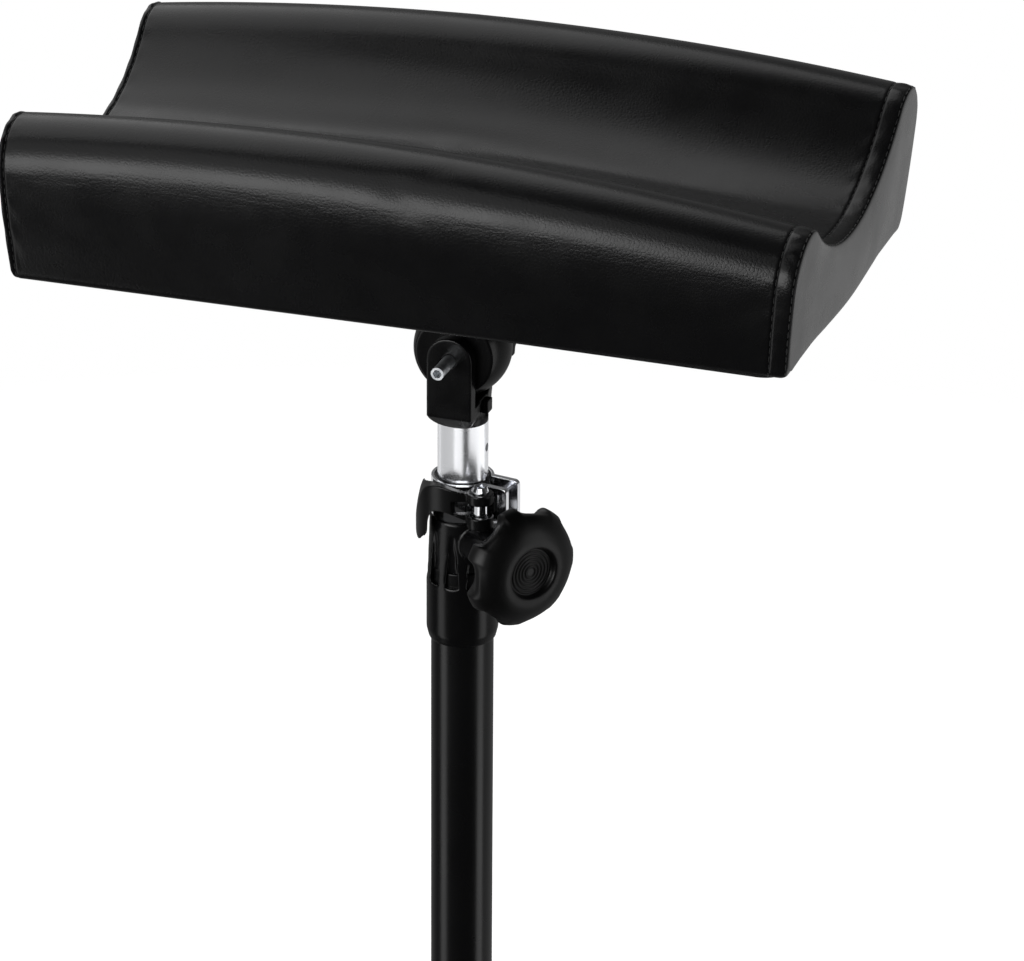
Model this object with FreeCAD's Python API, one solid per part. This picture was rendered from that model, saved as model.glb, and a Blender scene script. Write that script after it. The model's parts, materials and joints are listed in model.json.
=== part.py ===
import FreeCAD, Part
import math
import os

# Arm rest stand. Millimetres. +Z is up, +X runs along the pad, -Y is the front.
# The origin is on the axis of the pole, at the floor.

# Clearances shared by all pieces
overrun = 1.0  # how far a cut runs past the face it opens
run_gap = 0.06  # radial clearance of a turning or sliding fit
seat_gap = 0.05  # radial clearance of a piece pressed or screwed into another
face_gap = 0.3  # space between neighbours that only lie near each other

# Poles
pole_radius = 15.0
pole_wall = 1.5
pole_foot_sole = 5.0  # rubber under the end of the pole
pole_foot_height = 12.0
pole_foot_wall = 2.5
tube_radius = 12.0
tube_wall = 1.4
tube_length = 390.0
guide_height = 26.0
guide_grip = 10.0  # how far the guide reaches up into the tube

# Plastic collar on top of the pole, measured from its lower edge
collar_bottom = 410.0
collar_radius = 17.2
collar_top_radius = 15.6
collar_straight_height = 31.0  # height of the plain lower part
collar_height = 65.0
collar_socket_depth = 38.0  # how far the pole reaches in
collar_edge_height = 5.0
collar_edge_radius = 16.0
collar_shoulder_round = 1.2
neck_radius = 13.3
neck_height = 19.0
neck_slit_width = 2.0
neck_slit_depth = 24.0
pocket_count = 10
pocket_depth = 1.5
pocket_wide = 6.4
pocket_narrow = 2.6
pocket_height = 27.0

# Split clamp band round the neck
band_wall = 1.6
band_gap = 0.1
band_angle = -9.0  # direction of its lugs, from +X
lug_reach = 27.0
lug_gap_half = 4.4
lug_wall = 2.8
lug_corner = 2.5
clamp_bolt_radius = 2.0
clamp_bolt_reach = 17.4  # distance of the bolt from the axis of the pole
clamp_bolt_drop = 8.2  # below the top of the band
clamp_head_width = 7.0
clamp_head_height = 3.0
clamp_washer_radius = 4.0
clamp_washer_height = 0.8

# Barrel pin and cam lever
barrel_radius = 3.5
barrel_screw_radius = 1.5
barrel_screw_depth = 5.0
barrel_head_radius = 4.1
barrel_head_height = 2.8
driver_slot_width = 0.9
driver_slot_depth = 1.2
fork_radius = 6.3
fork_height = 17.5
fork_slot_height = 6.6
fork_solid_reach = 12.0  # the slot reaches this far past the pin into the arm
cam_washer_wall = 1.2
cam_washer_depth = 3.0
cam_washer_width = 8.0
lever_gap = 0.8  # between the lever and the collar
lever_wall = 4.2
lever_face_angle = -70.6  # direction that the lever's outline faces
lever_height = 30.6
# outline of the lever's arm as seen from its front: the share of its outer radius across
# from the pole's axis, and the share of its height from the top of the clamp band
lever_outline_shares = [
    (0.27, -0.03), (0.12, -0.03), (-0.23, 0.03), (-0.46, 0.06), (-0.64, 0.045),
    (-0.79, -0.03), (-0.92, -0.26), (-0.98, -0.52), (-1.01, -0.73), (-1.00, -0.93),
    (-0.955, -1.00), (-0.86, -0.91), (-0.775, -0.82), (-0.75, -0.71), (-0.74, -0.58),
    (-0.71, -0.49), (-0.64, -0.40), (-0.51, -0.365), (-0.33, -0.37), (-0.095, -0.43),
    (0.10, -0.49), (0.20, -0.52), (0.27, -0.52), (0.31, -0.28),
]

# Star knob that locks the height
knob_angle = -34.6  # direction of its axis, from +X
knob_drop = 30.5  # below the top of the band
boss_radius = 11.0
boss_reach = 29.0  # from the axis of the pole
knob_radius = 29.5
knob_back = 30.0  # from the axis of the pole
knob_rim_back = 40.5
knob_rim_front = 50.5
knob_face = 57.0
knob_hub_radius = 12.5
knob_face_radius = 17.5
knob_lobes = 7
knob_lobe_turn = -1.0  # angle of the first lobe, seen from outside
scallop_radius = 10.5
scallop_depth = 4.6
recess_radius = 12.6
recess_depth = 3.2
cap_height = 2.4
cap_ring_count = 5
cap_ring_depth = 0.6
stud_radius = 4.0
stud_grip = 18.0  # how far the stud is moulded into the knob
shoe_radius = 4.6
shoe_height = 2.4
insert_radius = 6.2
insert_length = 12.0

# Yoke on the chrome tube, measured from the tilt axis
tilt_rise = 65.5  # tilt axis above the top of the clamp band
tilt_drop = 47.0  # tilt axis below the underside of the pad
yoke_drop = 37.0  # underside of the yoke below the tilt axis
ear_inside = 13.6
ear_wall = 6.6
ear_radius = 11.0
ear_low_round = 8.0
back_ear_half = 7.5  # half the width of the rear ear, which draws in behind the side screw
back_ear_start = 4.0  # behind the axis
yoke_floor_drop = 24.8
yoke_taper_height = 8.0
stem_length = 26.0
stem_pin_radius = 2.0
stem_pin_drop = 13.0
side_screw_radius = 2.0
side_screw_length = 15.0
side_head_width = 6.4
side_head_height = 3.2
side_screw_drop = 28.4
side_seat_reach = 10.3  # seat of its head, from the axis

# Tilt joint
ball_radius = 23.2
ball_side_gap = 0.15
ball_neck_radius = 17.0
flange_length = 70.0
flange_width = 52.0
flange_height = 6.0
flange_corner = 8.0
tilt_bolt_radius = 3.1
tilt_bolt_front = 36.0
tilt_bolt_back = 37.0
socket_width = 3.8
socket_depth = 6.0
tilt_washer_radius = 7.5
tilt_washer_height = 1.5
tilt_knob_radius = 21.0
tilt_knob_height = 17.0
tilt_knob_rim_height = 9.0
tilt_knob_hub_radius = 9.5
tilt_knob_lobes = 6
tilt_scallop_radius = 8.5
tilt_scallop_depth = 3.6
tilt_insert_radius = 5.0
tilt_insert_length = 11.0

# Pad
pad_length = 380.0
pad_width = 204.0
pad_foot_inset = 4.0  # the walls stand in this much at the bottom
pad_end_lean = 6.0  # the ends lean out by this much at the crest
pad_wall_bow = 1.2  # outward bow of the long walls
pad_front_crest = 65.0  # crest height at the ends
pad_back_crest = 72.0
pad_trough = 37.5  # height of the trough's floor at the ends
pad_arch = 11.0  # how much higher the crests are at the middle
pad_trough_arch = 7.0
crest_round = 22.0
trough_offset = -3.0  # middle of the trough, from the middle of the pad
pad_corner = 5.0
pad_stations_shares = [-0.5, -0.36, -0.18, 0, 0.18, 0.36, 0.5]
skin = 1.4
board_end_margin = 8.0  # between the board's ends and the feet of the pad's ends
board_side_margin = 6.0
board_height = 10.0
board_corner = 12.0
cloth_height = 0.8
cloth_margin = 3.0
plate_length = 110.0
plate_width = 80.0
plate_height = 2.5
plate_corner = 6.0
pad_screw_radius = 2.9
pad_screw_head_radius = 5.6
pad_screw_head_height = 3.4
pad_screw_spacing_x = 52.0
pad_screw_spacing_y = 34.0
tee_nut_radius = 3.9
tee_nut_flange_radius = 9.0
tee_nut_flange_height = 1.2

# Folding tripod
leg_angles = [90.0, 210.0, 330.0]
spread_angle = 60.0  # legs from the vertical, standing
pivot_radius = 27.0  # pivots from the axis of the pole
brace_pivot_height = 22.0
brace_length = 118.0  # between its pins
brace_width = 14.0
brace_wall = 2.5
leg_radius = 9.5
leg_wall = 1.5
leg_foot_radius = 12.5
leg_foot_drop = 9.0  # centre of the round end above the floor
leg_foot_length = 34.0
leg_eye_radius = 8.0
leg_eye_width = 12.0
leg_eye_reach = 13.0
leg_plug_length = 24.0
hub_wall = 5.0
hub_height = 30.0
hub_below_pivot = 11.0
hub_ear_wall = 4.6
hub_knob_angle = 270.0
hub_boss_radius = 9.5
hub_boss_reach = 31.0
hub_knob_radius = 20.0
hub_knob_height = 24.0
hub_knob_rim_height = 13.0
hub_knob_hub_radius = 9.0
hub_knob_lobes = 6
hub_scallop_radius = 8.0
hub_scallop_depth = 3.4
hub_stud_radius = 3.0
hub_stud_grip = 13.0
hub_shoe_radius = 3.8
hub_shoe_height = 2.0
hub_insert_radius = 4.8
hub_insert_length = 9.0
bracket_wall = 4.5
bracket_height = 19.0
bracket_lug_radius = 7.0
bracket_screw_radius = 2.5
bracket_screw_angle = 30.0
leg_pin_radius = 3.0
brace_pin_radius = 2.5
pin_head_extra = 2.0  # radius of a pin's head beyond its shank
pin_head_height = 1.6

# Heights that follow from the sizes above
pole_top = collar_bottom + collar_socket_depth
collar_top = collar_bottom + collar_height
band_top = collar_top + neck_height
band_bottom = collar_top
clamp_height = band_top - clamp_bolt_drop
knob_height = band_top - knob_drop
tilt_height = band_top + tilt_rise
pad_bottom = tilt_height + tilt_drop
plate_bottom = pad_bottom - plate_height
flange_bottom = plate_bottom - flange_height
board_length = pad_length - 2 * (pad_end_lean + board_end_margin)
board_width = pad_width - 2 * (pad_foot_inset + board_side_margin)
board_bottom = pad_bottom + cloth_height
board_top = board_bottom + board_height
spread_turn = math.radians(spread_angle)
hub_pivot_height = brace_pivot_height + 2 * brace_length * math.cos(spread_turn)
leg_length = (hub_pivot_height - leg_foot_drop) / math.cos(spread_turn)
hub_bottom = hub_pivot_height - hub_below_pivot
hub_lock_height = hub_bottom + hub_height / 2

# The barrel pin lies in front of the near lug, behind a curved washer
barrel_side = lug_gap_half + lug_wall + cam_washer_wall + face_gap + fork_radius
barrel_low = band_top + face_gap - fork_height

# Ears on both sides of a leg's eye
hub_ear_inside = leg_eye_width / 2 + 2 * run_gap

origin = FreeCAD.Vector(0, 0, 0)
up = FreeCAD.Vector(0, 0, 1)
along_x = FreeCAD.Vector(1, 0, 0)
along_y = FreeCAD.Vector(0, 1, 0)


def at_angle(radius, angle, height=0):
    """Point at a distance from the pole's axis, at an angle in degrees from +X."""
    turn = math.radians(angle)
    return FreeCAD.Vector(radius * math.cos(turn), radius * math.sin(turn), height)


def direction(angle):
    """Level unit vector at an angle in degrees from +X."""
    return at_angle(1, angle)


def rod(start, axis, radius, length):
    return Part.makeCylinder(radius, length, start, axis)


def disc(radius, bottom, top):
    """Upright cylinder on the pole's axis."""
    return Part.makeCylinder(radius, top - bottom, FreeCAD.Vector(0, 0, bottom), up)


def ring(outer, inner, bottom, top):
    """Upright ring on the pole's axis."""
    hole = disc(inner, bottom - overrun, top + overrun)
    return disc(outer, bottom, top).cut(hole)


def block(low, high):
    """Box between two corners given as x, y, z."""
    sizes = [high[i] - low[i] for i in range(3)]
    return Part.makeBox(sizes[0], sizes[1], sizes[2], FreeCAD.Vector(*low))


def turned(points):
    """Solid of revolution about Z from an outline of radius and height."""
    corners = [FreeCAD.Vector(radius, 0, height) for radius, height in points]
    outline = Part.makePolygon(corners + [corners[0]])
    return Part.Face(outline).revolve(origin, up, 360)


def rounded_plate(length, width, corner, bottom, top):
    """Flat plate centred on the axis, with round upright corners."""
    plate = block((-length / 2, -width / 2, bottom), (length / 2, width / 2, top))
    return round_edges(plate, corner, up)


def round_edges(shape, radius, axis):
    """Fillet every straight edge that runs along the axis."""
    edges = []
    for edge in shape.Edges:
        if isinstance(edge.Curve, Part.Line) and abs(edge.Curve.Direction.dot(axis)) > 0.999:
            edges.append(edge)
    return shape.makeFillet(radius, edges)


def hexagon(width, bottom, height):
    """Upright hexagonal bar on Z, of the given width across its flats."""
    reach = width / math.sqrt(3)
    corners = [at_angle(reach, 60 * i, bottom) for i in range(7)]
    return Part.Face(Part.makePolygon(corners)).extrude(up * height)


def aimed(shape, place, axis):
    """Move a shape built on Z so that its Z runs along the axis from the place."""
    moved = shape.copy()
    moved.Placement = FreeCAD.Placement(place, FreeCAD.Rotation(up, axis))
    return moved


def knob_frame(place, angle):
    """Placement that turns Z to a level direction and keeps X level."""
    turn = FreeCAD.Rotation(up, angle + 90).multiply(FreeCAD.Rotation(along_x, 90))
    return FreeCAD.Placement(place, turn)


def put(shape, placement):
    moved = shape.copy()
    moved.Placement = placement
    return moved


def star_knob(sizes):
    """Star knob on Z: a domed rim on a hub, with scallops round the rim."""
    shape = turned(sizes["outline"])
    for i in range(sizes["lobes"]):
        angle = sizes["turn"] + (i + 0.5) * 360 / sizes["lobes"]
        centre = sizes["radius"] + sizes["scallop"] - sizes["depth"]
        start = at_angle(centre, angle, -overrun)
        length = sizes["height"] + 2 * overrun
        shape = shape.cut(rod(start, up, sizes["scallop"], length))
    return shape


def make_outer_pole():
    inner = pole_radius - pole_wall
    return ring(pole_radius, inner, pole_foot_sole, pole_top)


def make_pole_foot():
    outer = pole_radius + pole_foot_wall
    edge = pole_foot_wall / 2
    cup = turned([
        (0, 0), (outer - edge, 0), (outer, edge), (outer, pole_foot_height - edge),
        (outer - edge, pole_foot_height), (0, pole_foot_height),
    ])
    return cup.cut(disc(pole_radius + seat_gap, pole_foot_sole, pole_foot_height + overrun))


def make_pocket(angle):
    """Tapered recess in the upper part of the collar, wide at its lower end."""
    low = collar_bottom + collar_straight_height
    high = low + pocket_height
    floor = collar_top_radius - pocket_depth
    reach = collar_radius + overrun
    lower = FreeCAD.Vector(floor, -pocket_wide / 2, low)
    upper = FreeCAD.Vector(floor + pocket_depth, -pocket_narrow / 2, high)
    wires = []
    for corner, wide in ((lower, pocket_wide), (upper, pocket_narrow)):
        points = [
            corner, FreeCAD.Vector(reach, corner.y, corner.z),
            FreeCAD.Vector(reach, corner.y + wide, corner.z),
            FreeCAD.Vector(corner.x, corner.y + wide, corner.z), corner,
        ]
        wires.append(Part.makePolygon(points))
    pocket = Part.makeLoft(wires, True, True)
    pocket.rotate(origin, up, angle)
    return pocket


def make_collar():
    straight_top = collar_bottom + collar_straight_height
    body = turned([
        (0, collar_bottom), (collar_edge_radius, collar_bottom),
        (collar_radius, collar_bottom + collar_edge_height), (collar_radius, straight_top),
        (collar_top_radius, collar_top - collar_shoulder_round),
        (collar_top_radius - collar_shoulder_round, collar_top), (0, collar_top),
    ])
    body = body.fuse(disc(neck_radius, collar_top - overrun, band_top))
    for i in range(pocket_count):
        angle = knob_angle + (i + 0.5) * 360 / pocket_count
        body = body.cut(make_pocket(angle))
    boss = rod(at_angle(0, knob_angle, knob_height), direction(knob_angle), boss_radius,
               boss_reach)
    body = body.fuse(boss)
    body = body.cut(disc(pole_radius + seat_gap, collar_bottom - overrun, pole_top))
    body = body.cut(disc(tube_radius + run_gap, pole_top - overrun, band_top + overrun))
    slit = block((0, -neck_slit_width / 2, band_top - neck_slit_depth),
                 (collar_radius, neck_slit_width / 2, band_top + overrun))
    slit.rotate(origin, up, band_angle)
    body = body.cut(slit)
    stud_hole = rod(at_angle(0, knob_angle, knob_height), direction(knob_angle),
                    shoe_radius + run_gap, boss_reach - insert_length)
    insert_hole = rod(at_angle(boss_reach - insert_length, knob_angle, knob_height),
                      direction(knob_angle), insert_radius + seat_gap,
                      insert_length + overrun)
    return body.cut(stud_hole).cut(insert_hole)


def make_lock_insert():
    axis = direction(knob_angle)
    start = at_angle(boss_reach - insert_length, knob_angle, knob_height)
    bush = rod(start, axis, insert_radius, insert_length)
    return bush.cut(rod(start - axis * overrun, axis, stud_radius + run_gap,
                        insert_length + 2 * overrun))


def make_clamp_band():
    inner = neck_radius + band_gap
    outer = inner + band_wall
    lug_side = lug_gap_half + lug_wall
    lugs = block((0, -lug_side, band_bottom), (lug_reach, lug_side, band_top))
    lugs = round_edges_at(lugs, lug_corner, along_y, lug_reach)
    band = disc(outer, band_bottom, band_top).fuse(lugs)
    band = band.cut(disc(inner, band_bottom - overrun, band_top + overrun))
    gap = block((0, -lug_gap_half, band_bottom - overrun),
                (lug_reach + overrun, lug_gap_half, band_top + overrun))
    hole = rod(FreeCAD.Vector(clamp_bolt_reach, -lug_reach, clamp_height), along_y,
               clamp_bolt_radius + run_gap, 2 * lug_reach)
    band = band.cut(gap).cut(hole)
    band.rotate(origin, up, band_angle)
    return band


def round_edges_at(shape, radius, axis, reach):
    """Fillet the straight edges along the axis that lie at x = reach."""
    edges = []
    for edge in shape.Edges:
        if isinstance(edge.Curve, Part.Line) and abs(edge.Curve.Direction.dot(axis)) > 0.999:
            if abs(edge.CenterOfMass.x - reach) < seat_gap:
                edges.append(edge)
    return shape.makeFillet(radius, edges)


def in_band_frame(shape):
    """Turn a shape modelled with the lugs along +X to the real direction."""
    moved = shape.copy()
    moved.rotate(origin, up, band_angle)
    return moved


def make_cam_washer():
    face = lug_gap_half + lug_wall
    low = clamp_height - cam_washer_width / 2
    pad = block((clamp_bolt_reach - cam_washer_width / 2, -face - cam_washer_depth, low),
                (clamp_bolt_reach + cam_washer_width / 2, -face, low + cam_washer_width))
    hollow = rod(FreeCAD.Vector(clamp_bolt_reach, -barrel_side, low - overrun), up,
                 fork_radius + face_gap, cam_washer_width + 2 * overrun)
    hole = rod(FreeCAD.Vector(clamp_bolt_reach, -lug_reach, clamp_height), along_y,
               clamp_bolt_radius + run_gap, lug_reach)
    return in_band_frame(pad.cut(hollow).cut(hole))


def make_clamp_bolt():
    """Bolt whose hexagonal head bears on a washer behind the far lug."""
    head_face = lug_gap_half + lug_wall + clamp_washer_height
    shank = rod(FreeCAD.Vector(clamp_bolt_reach, -barrel_side, clamp_height), along_y,
                clamp_bolt_radius, barrel_side + head_face)
    head = aimed(hexagon(clamp_head_width, 0, clamp_head_height),
                 FreeCAD.Vector(clamp_bolt_reach, head_face, clamp_height), along_y)
    return in_band_frame(shank.fuse(head))


def make_clamp_washer():
    face = lug_gap_half + lug_wall
    start = FreeCAD.Vector(clamp_bolt_reach, face, clamp_height)
    plain = rod(start, along_y, clamp_washer_radius, clamp_washer_height)
    hole = rod(start - along_y * overrun, along_y, clamp_bolt_radius + run_gap,
               clamp_washer_height + 2 * overrun)
    return in_band_frame(plain.cut(hole))


def make_barrel_pin():
    foot = FreeCAD.Vector(clamp_bolt_reach, -barrel_side, barrel_low)
    pin = rod(foot, up, barrel_radius, band_top + face_gap - barrel_low)
    cross = rod(FreeCAD.Vector(clamp_bolt_reach, -barrel_side, clamp_height), along_y,
                clamp_bolt_radius + seat_gap, barrel_radius + overrun)
    cross = cross.fuse(rod(FreeCAD.Vector(clamp_bolt_reach, -barrel_side, clamp_height),
                           -along_y, clamp_bolt_radius + seat_gap, seat_gap))
    top = foot + up * (band_top + face_gap - barrel_low)
    bore = rod(top + up * overrun, -up, barrel_screw_radius + seat_gap,
               barrel_screw_depth + overrun)
    return in_band_frame(pin.cut(cross).cut(bore))


def make_barrel_screw():
    seat = FreeCAD.Vector(clamp_bolt_reach, -barrel_side, band_top + face_gap)
    edge = barrel_head_height / 3
    head = turned([
        (0, 0), (barrel_head_radius, 0), (barrel_head_radius, edge),
        (barrel_head_radius - edge, barrel_head_height), (0, barrel_head_height),
    ])
    low = barrel_head_height - driver_slot_depth
    for angle in (0, 90):
        slot = block((-barrel_radius, -driver_slot_width / 2, low),
                     (barrel_radius, driver_slot_width / 2, barrel_head_height + overrun))
        slot.rotate(origin, up, angle)
        head = head.cut(slot)
    head.translate(seat)
    shank = rod(seat, -up, barrel_screw_radius, barrel_screw_depth)
    return in_band_frame(head.fuse(shank))


def barrel_place():
    """Centre of the barrel pin, seen from above, in the part's own frame."""
    place = FreeCAD.Vector(clamp_bolt_reach, -barrel_side, 0)
    return FreeCAD.Rotation(up, band_angle).multVec(place)


def make_lever_arm():
    """Curved arm: a ring sector cut to the lever's outline as seen from the front."""
    inner = collar_radius + lever_gap
    outer = inner + lever_wall
    low = band_top - lever_height - overrun
    high = band_top + lever_wall
    shell = ring(outer, inner, low, high)
    face = direction(lever_face_angle)
    across = direction(lever_face_angle + 90)
    points = []
    for across_share, up_share in lever_outline_shares:
        points.append(across * (across_share * outer) + up * (band_top + up_share * lever_height))
    curve = Part.BSplineCurve()
    curve.interpolate(points, PeriodicFlag=True)
    sheet = Part.Face(Part.Wire([curve.toShape()]))
    return shell.common(sheet.extrude(face * (outer + fork_radius)))


def make_cam_lever():
    place = barrel_place()
    foot = FreeCAD.Vector(place.x, place.y, band_top - fork_height)
    fork = rod(foot, up, fork_radius, fork_height)
    lever = make_lever_arm().fuse(fork)
    bore = rod(foot - up * overrun, up, barrel_radius + run_gap, fork_height + 2 * overrun)
    lever = lever.cut(bore)
    half = fork_slot_height / 2
    slot = block((-fork_solid_reach, -2 * fork_radius, clamp_height - half),
                 (2 * fork_radius, 2 * fork_radius, clamp_height + half))
    slot.rotate(origin, up, band_angle)
    slot.translate(place)
    return lever.cut(slot)


def lock_knob_outline():
    """Half outline of the star knob, from its hub to the rim of the recess."""
    mid = (knob_rim_back + knob_rim_front) / 2
    step = (knob_rim_front - knob_rim_back) / 4
    return [
        (0, 0), (knob_hub_radius, 0),
        (knob_hub_radius, knob_rim_back - knob_back - step),
        (knob_radius - step, knob_rim_back - knob_back),
        (knob_radius, mid - step - knob_back), (knob_radius, mid + step - knob_back),
        (knob_radius - step, knob_rim_front - knob_back),
        (knob_face_radius, knob_face - knob_back - step / 2),
        (recess_radius + step / 2, knob_face - knob_back),
        (0, knob_face - knob_back),
    ]


def make_lock_knob():
    sizes = {
        "outline": lock_knob_outline(), "lobes": knob_lobes, "turn": knob_lobe_turn,
        "scallop": scallop_radius, "depth": scallop_depth, "radius": knob_radius,
        "height": knob_face - knob_back,
    }
    knob = star_knob(sizes)
    height = knob_face - knob_back
    knob = knob.cut(disc(recess_radius, height - recess_depth, height + overrun))
    knob = knob.cut(disc(stud_radius + seat_gap, -overrun, stud_grip))
    return put(knob, knob_frame(at_angle(knob_back, knob_angle, knob_height), knob_angle))


def make_lock_knob_cap():
    """Disc in the recess with raised rings about its centre."""
    floor = knob_face - knob_back - recess_depth
    radius = recess_radius - seat_gap
    cap = disc(radius, floor, floor + cap_height)
    pitch = radius / (cap_ring_count + 0.5)
    for i in range(cap_ring_count):
        inner = (i + 0.7) * pitch
        groove = ring(inner + pitch / 2, inner, floor + cap_height - cap_ring_depth,
                      floor + cap_height + overrun)
        cap = cap.cut(groove)
    return put(cap, knob_frame(at_angle(knob_back, knob_angle, knob_height), knob_angle))


def make_lock_stud():
    start = at_angle(tube_radius + face_gap + shoe_height, knob_angle, knob_height)
    length = knob_back + stud_grip - tube_radius - face_gap - shoe_height
    return rod(start, direction(knob_angle), stud_radius, length)


def make_lock_shoe():
    start = at_angle(tube_radius + face_gap, knob_angle, knob_height)
    return rod(start, direction(knob_angle), shoe_radius, shoe_height)


def make_inner_tube():
    top = tilt_height - yoke_drop
    tube = ring(tube_radius, tube_radius - tube_wall, top - tube_length, top)
    start = FreeCAD.Vector(-tube_radius - overrun, 0, top - stem_pin_drop)
    hole = rod(start, along_x, stem_pin_radius + seat_gap, 2 * (tube_radius + overrun))
    return tube.cut(hole)


def make_tube_guide():
    """Plastic guide that snaps into the lower end of the chrome tube."""
    bottom = tilt_height - yoke_drop - tube_length
    wide = pole_radius - pole_wall - run_gap
    neck = tube_radius - tube_wall - run_gap
    guide = disc(wide, bottom - guide_height, bottom)
    guide = guide.fuse(disc(neck, bottom, bottom + guide_grip))
    bore = neck - tube_wall
    return guide.cut(disc(bore, bottom - guide_height - overrun,
                          bottom + guide_grip + overrun))


def make_yoke():
    """Fork whose two ears hold the ball, with a stem in the chrome tube."""
    low = -yoke_drop
    side = ear_inside + ear_wall
    body = block((-ear_radius, -side, low), (ear_radius, side, 0))
    body = round_low_corners(body, low)
    body = body.fuse(rod(FreeCAD.Vector(0, -side, 0), along_y, ear_radius, 2 * side))
    slot = block((-ear_radius - overrun, -ear_inside, -yoke_floor_drop),
                 (ear_radius + overrun, ear_inside, ear_radius + overrun))
    body = body.cut(slot)
    for sign in (-1, 1):
        body = body.cut(make_yoke_taper(sign, low, side))
        body = body.cut(make_yoke_narrowing(sign, low, side))
    body = body.fuse(disc(tube_radius, low, -yoke_floor_drop - yoke_taper_height / 2))
    stem = disc(tube_radius - tube_wall - seat_gap, low - stem_length, low + overrun)
    body = body.fuse(stem)
    bolt_hole = rod(FreeCAD.Vector(0, -side - overrun, 0), along_y,
                    tilt_bolt_radius + seat_gap, 2 * (side + overrun))
    pin_hole = rod(FreeCAD.Vector(-tube_radius, 0, low - stem_pin_drop), along_x,
                   stem_pin_radius + seat_gap, 2 * tube_radius)
    screw_hole = rod(FreeCAD.Vector(side_seat_reach + side_head_height, 0, -side_screw_drop),
                     -along_x, side_screw_radius + seat_gap,
                     side_screw_length + side_head_height)
    body = body.cut(bolt_hole).cut(pin_hole).cut(screw_hole)
    spot = rod(FreeCAD.Vector(side_seat_reach, 0, -side_screw_drop), along_x,
               side_head_width, 2 * ear_radius)
    body = body.cut(spot)
    body.translate(up * tilt_height)
    return body


def round_low_corners(body, low):
    """Round the two lower edges of the ears that run from front to back."""
    edges = []
    for edge in body.Edges:
        along = isinstance(edge.Curve, Part.Line) and abs(edge.Curve.Direction.y) > 0.999
        if along and abs(edge.CenterOfMass.z - low) < seat_gap:
            edges.append(edge)
    return body.makeFillet(ear_low_round, edges)


def make_yoke_taper(sign, low, side):
    """Wedge that draws the yoke's front or back in to the width of the tube."""
    points = [
        (tube_radius, low - overrun), (side + overrun, low - overrun),
        (side + overrun, low + yoke_taper_height), (side, low + yoke_taper_height),
        (tube_radius, low),
    ]
    corners = [FreeCAD.Vector(-2 * ear_radius, sign * y, z) for y, z in points]
    face = Part.Face(Part.makePolygon(corners + [corners[0]]))
    return face.extrude(along_x * (4 * ear_radius))


def make_yoke_narrowing(sign, low, side):
    """Wedge that draws one side of the rear ear in towards its outer face."""
    points = [
        (ear_radius, back_ear_start), (2 * ear_radius, back_ear_start),
        (2 * ear_radius, side), (back_ear_half, side),
    ]
    corners = [FreeCAD.Vector(sign * x, y, low - overrun) for x, y in points]
    face = Part.Face(Part.makePolygon(corners + [corners[0]]))
    return face.extrude(up * (ear_radius - low + 2 * overrun))


def make_stem_pin():
    """Cross pin that holds the yoke's stem in the tube, flush with the tube."""
    height = tilt_height - yoke_drop - stem_pin_drop
    pin = rod(FreeCAD.Vector(-tube_radius, 0, height), along_x, stem_pin_radius,
              2 * tube_radius)
    return pin.common(disc(tube_radius - seat_gap, height - 2 * stem_pin_radius,
                           height + 2 * stem_pin_radius))


def make_side_screw():
    """Square-headed screw that stops the yoke's stem from turning in its bore."""
    place = FreeCAD.Vector(side_seat_reach, 0, tilt_height - side_screw_drop)
    half = side_head_width / 2
    head = block(place - FreeCAD.Vector(0, half, half),
                 place + FreeCAD.Vector(side_head_height, half, half))
    shank = rod(place, -along_x, side_screw_radius, side_screw_length)
    return head.fuse(shank)


def make_tilt_bolt():
    """Long stud through both ears and the ball, with a hexagon socket in front."""
    place = FreeCAD.Vector(0, -tilt_bolt_front, tilt_height)
    stud = rod(place, along_y, tilt_bolt_radius, tilt_bolt_front + tilt_bolt_back)
    socket = aimed(hexagon(socket_width, -overrun, socket_depth + overrun), place, along_y)
    return stud.cut(socket)


def make_tilt_washer():
    place = FreeCAD.Vector(0, ear_inside + ear_wall, tilt_height)
    plain = rod(place, along_y, tilt_washer_radius, tilt_washer_height)
    hole = rod(place - along_y * overrun, along_y, tilt_bolt_radius + run_gap,
               tilt_washer_height + 2 * overrun)
    return plain.cut(hole)


def tilt_knob_place():
    side = ear_inside + ear_wall + tilt_washer_height
    return FreeCAD.Vector(0, side, tilt_height)


def small_knob_outline(radius, hub, rim_height, height):
    """Half outline of a small star knob whose rim is at its outer end."""
    step = rim_height / 5
    rim_back = height - rim_height
    return [
        (0, 0), (hub, 0), (hub, rim_back - step), (radius - step, rim_back),
        (radius, rim_back + step), (radius, height - 2 * step),
        (radius - step, height - step), (hub, height), (0, height),
    ]


def make_tilt_knob():
    outline = small_knob_outline(tilt_knob_radius, tilt_knob_hub_radius,
                                 tilt_knob_rim_height, tilt_knob_height)
    sizes = {
        "outline": outline, "lobes": tilt_knob_lobes, "turn": 0,
        "scallop": tilt_scallop_radius, "depth": tilt_scallop_depth,
        "radius": tilt_knob_radius, "height": tilt_knob_height,
    }
    knob = star_knob(sizes)
    knob = knob.cut(disc(tilt_insert_radius + seat_gap, -overrun, tilt_insert_length))
    reach = tilt_bolt_back - tilt_knob_place().y + face_gap
    knob = knob.cut(disc(tilt_bolt_radius + run_gap, -overrun, reach))
    return put(knob, knob_frame(tilt_knob_place(), 90))


def make_tilt_insert():
    bush = disc(tilt_insert_radius, 0, tilt_insert_length)
    bush = bush.cut(disc(tilt_bolt_radius + run_gap, -overrun, tilt_insert_length + overrun))
    return put(bush, knob_frame(tilt_knob_place(), 90))


def screw_places():
    half_x = pad_screw_spacing_x / 2
    half_y = pad_screw_spacing_y / 2
    return [(x, y) for x in (-half_x, half_x) for y in (-half_y, half_y)]


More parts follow.
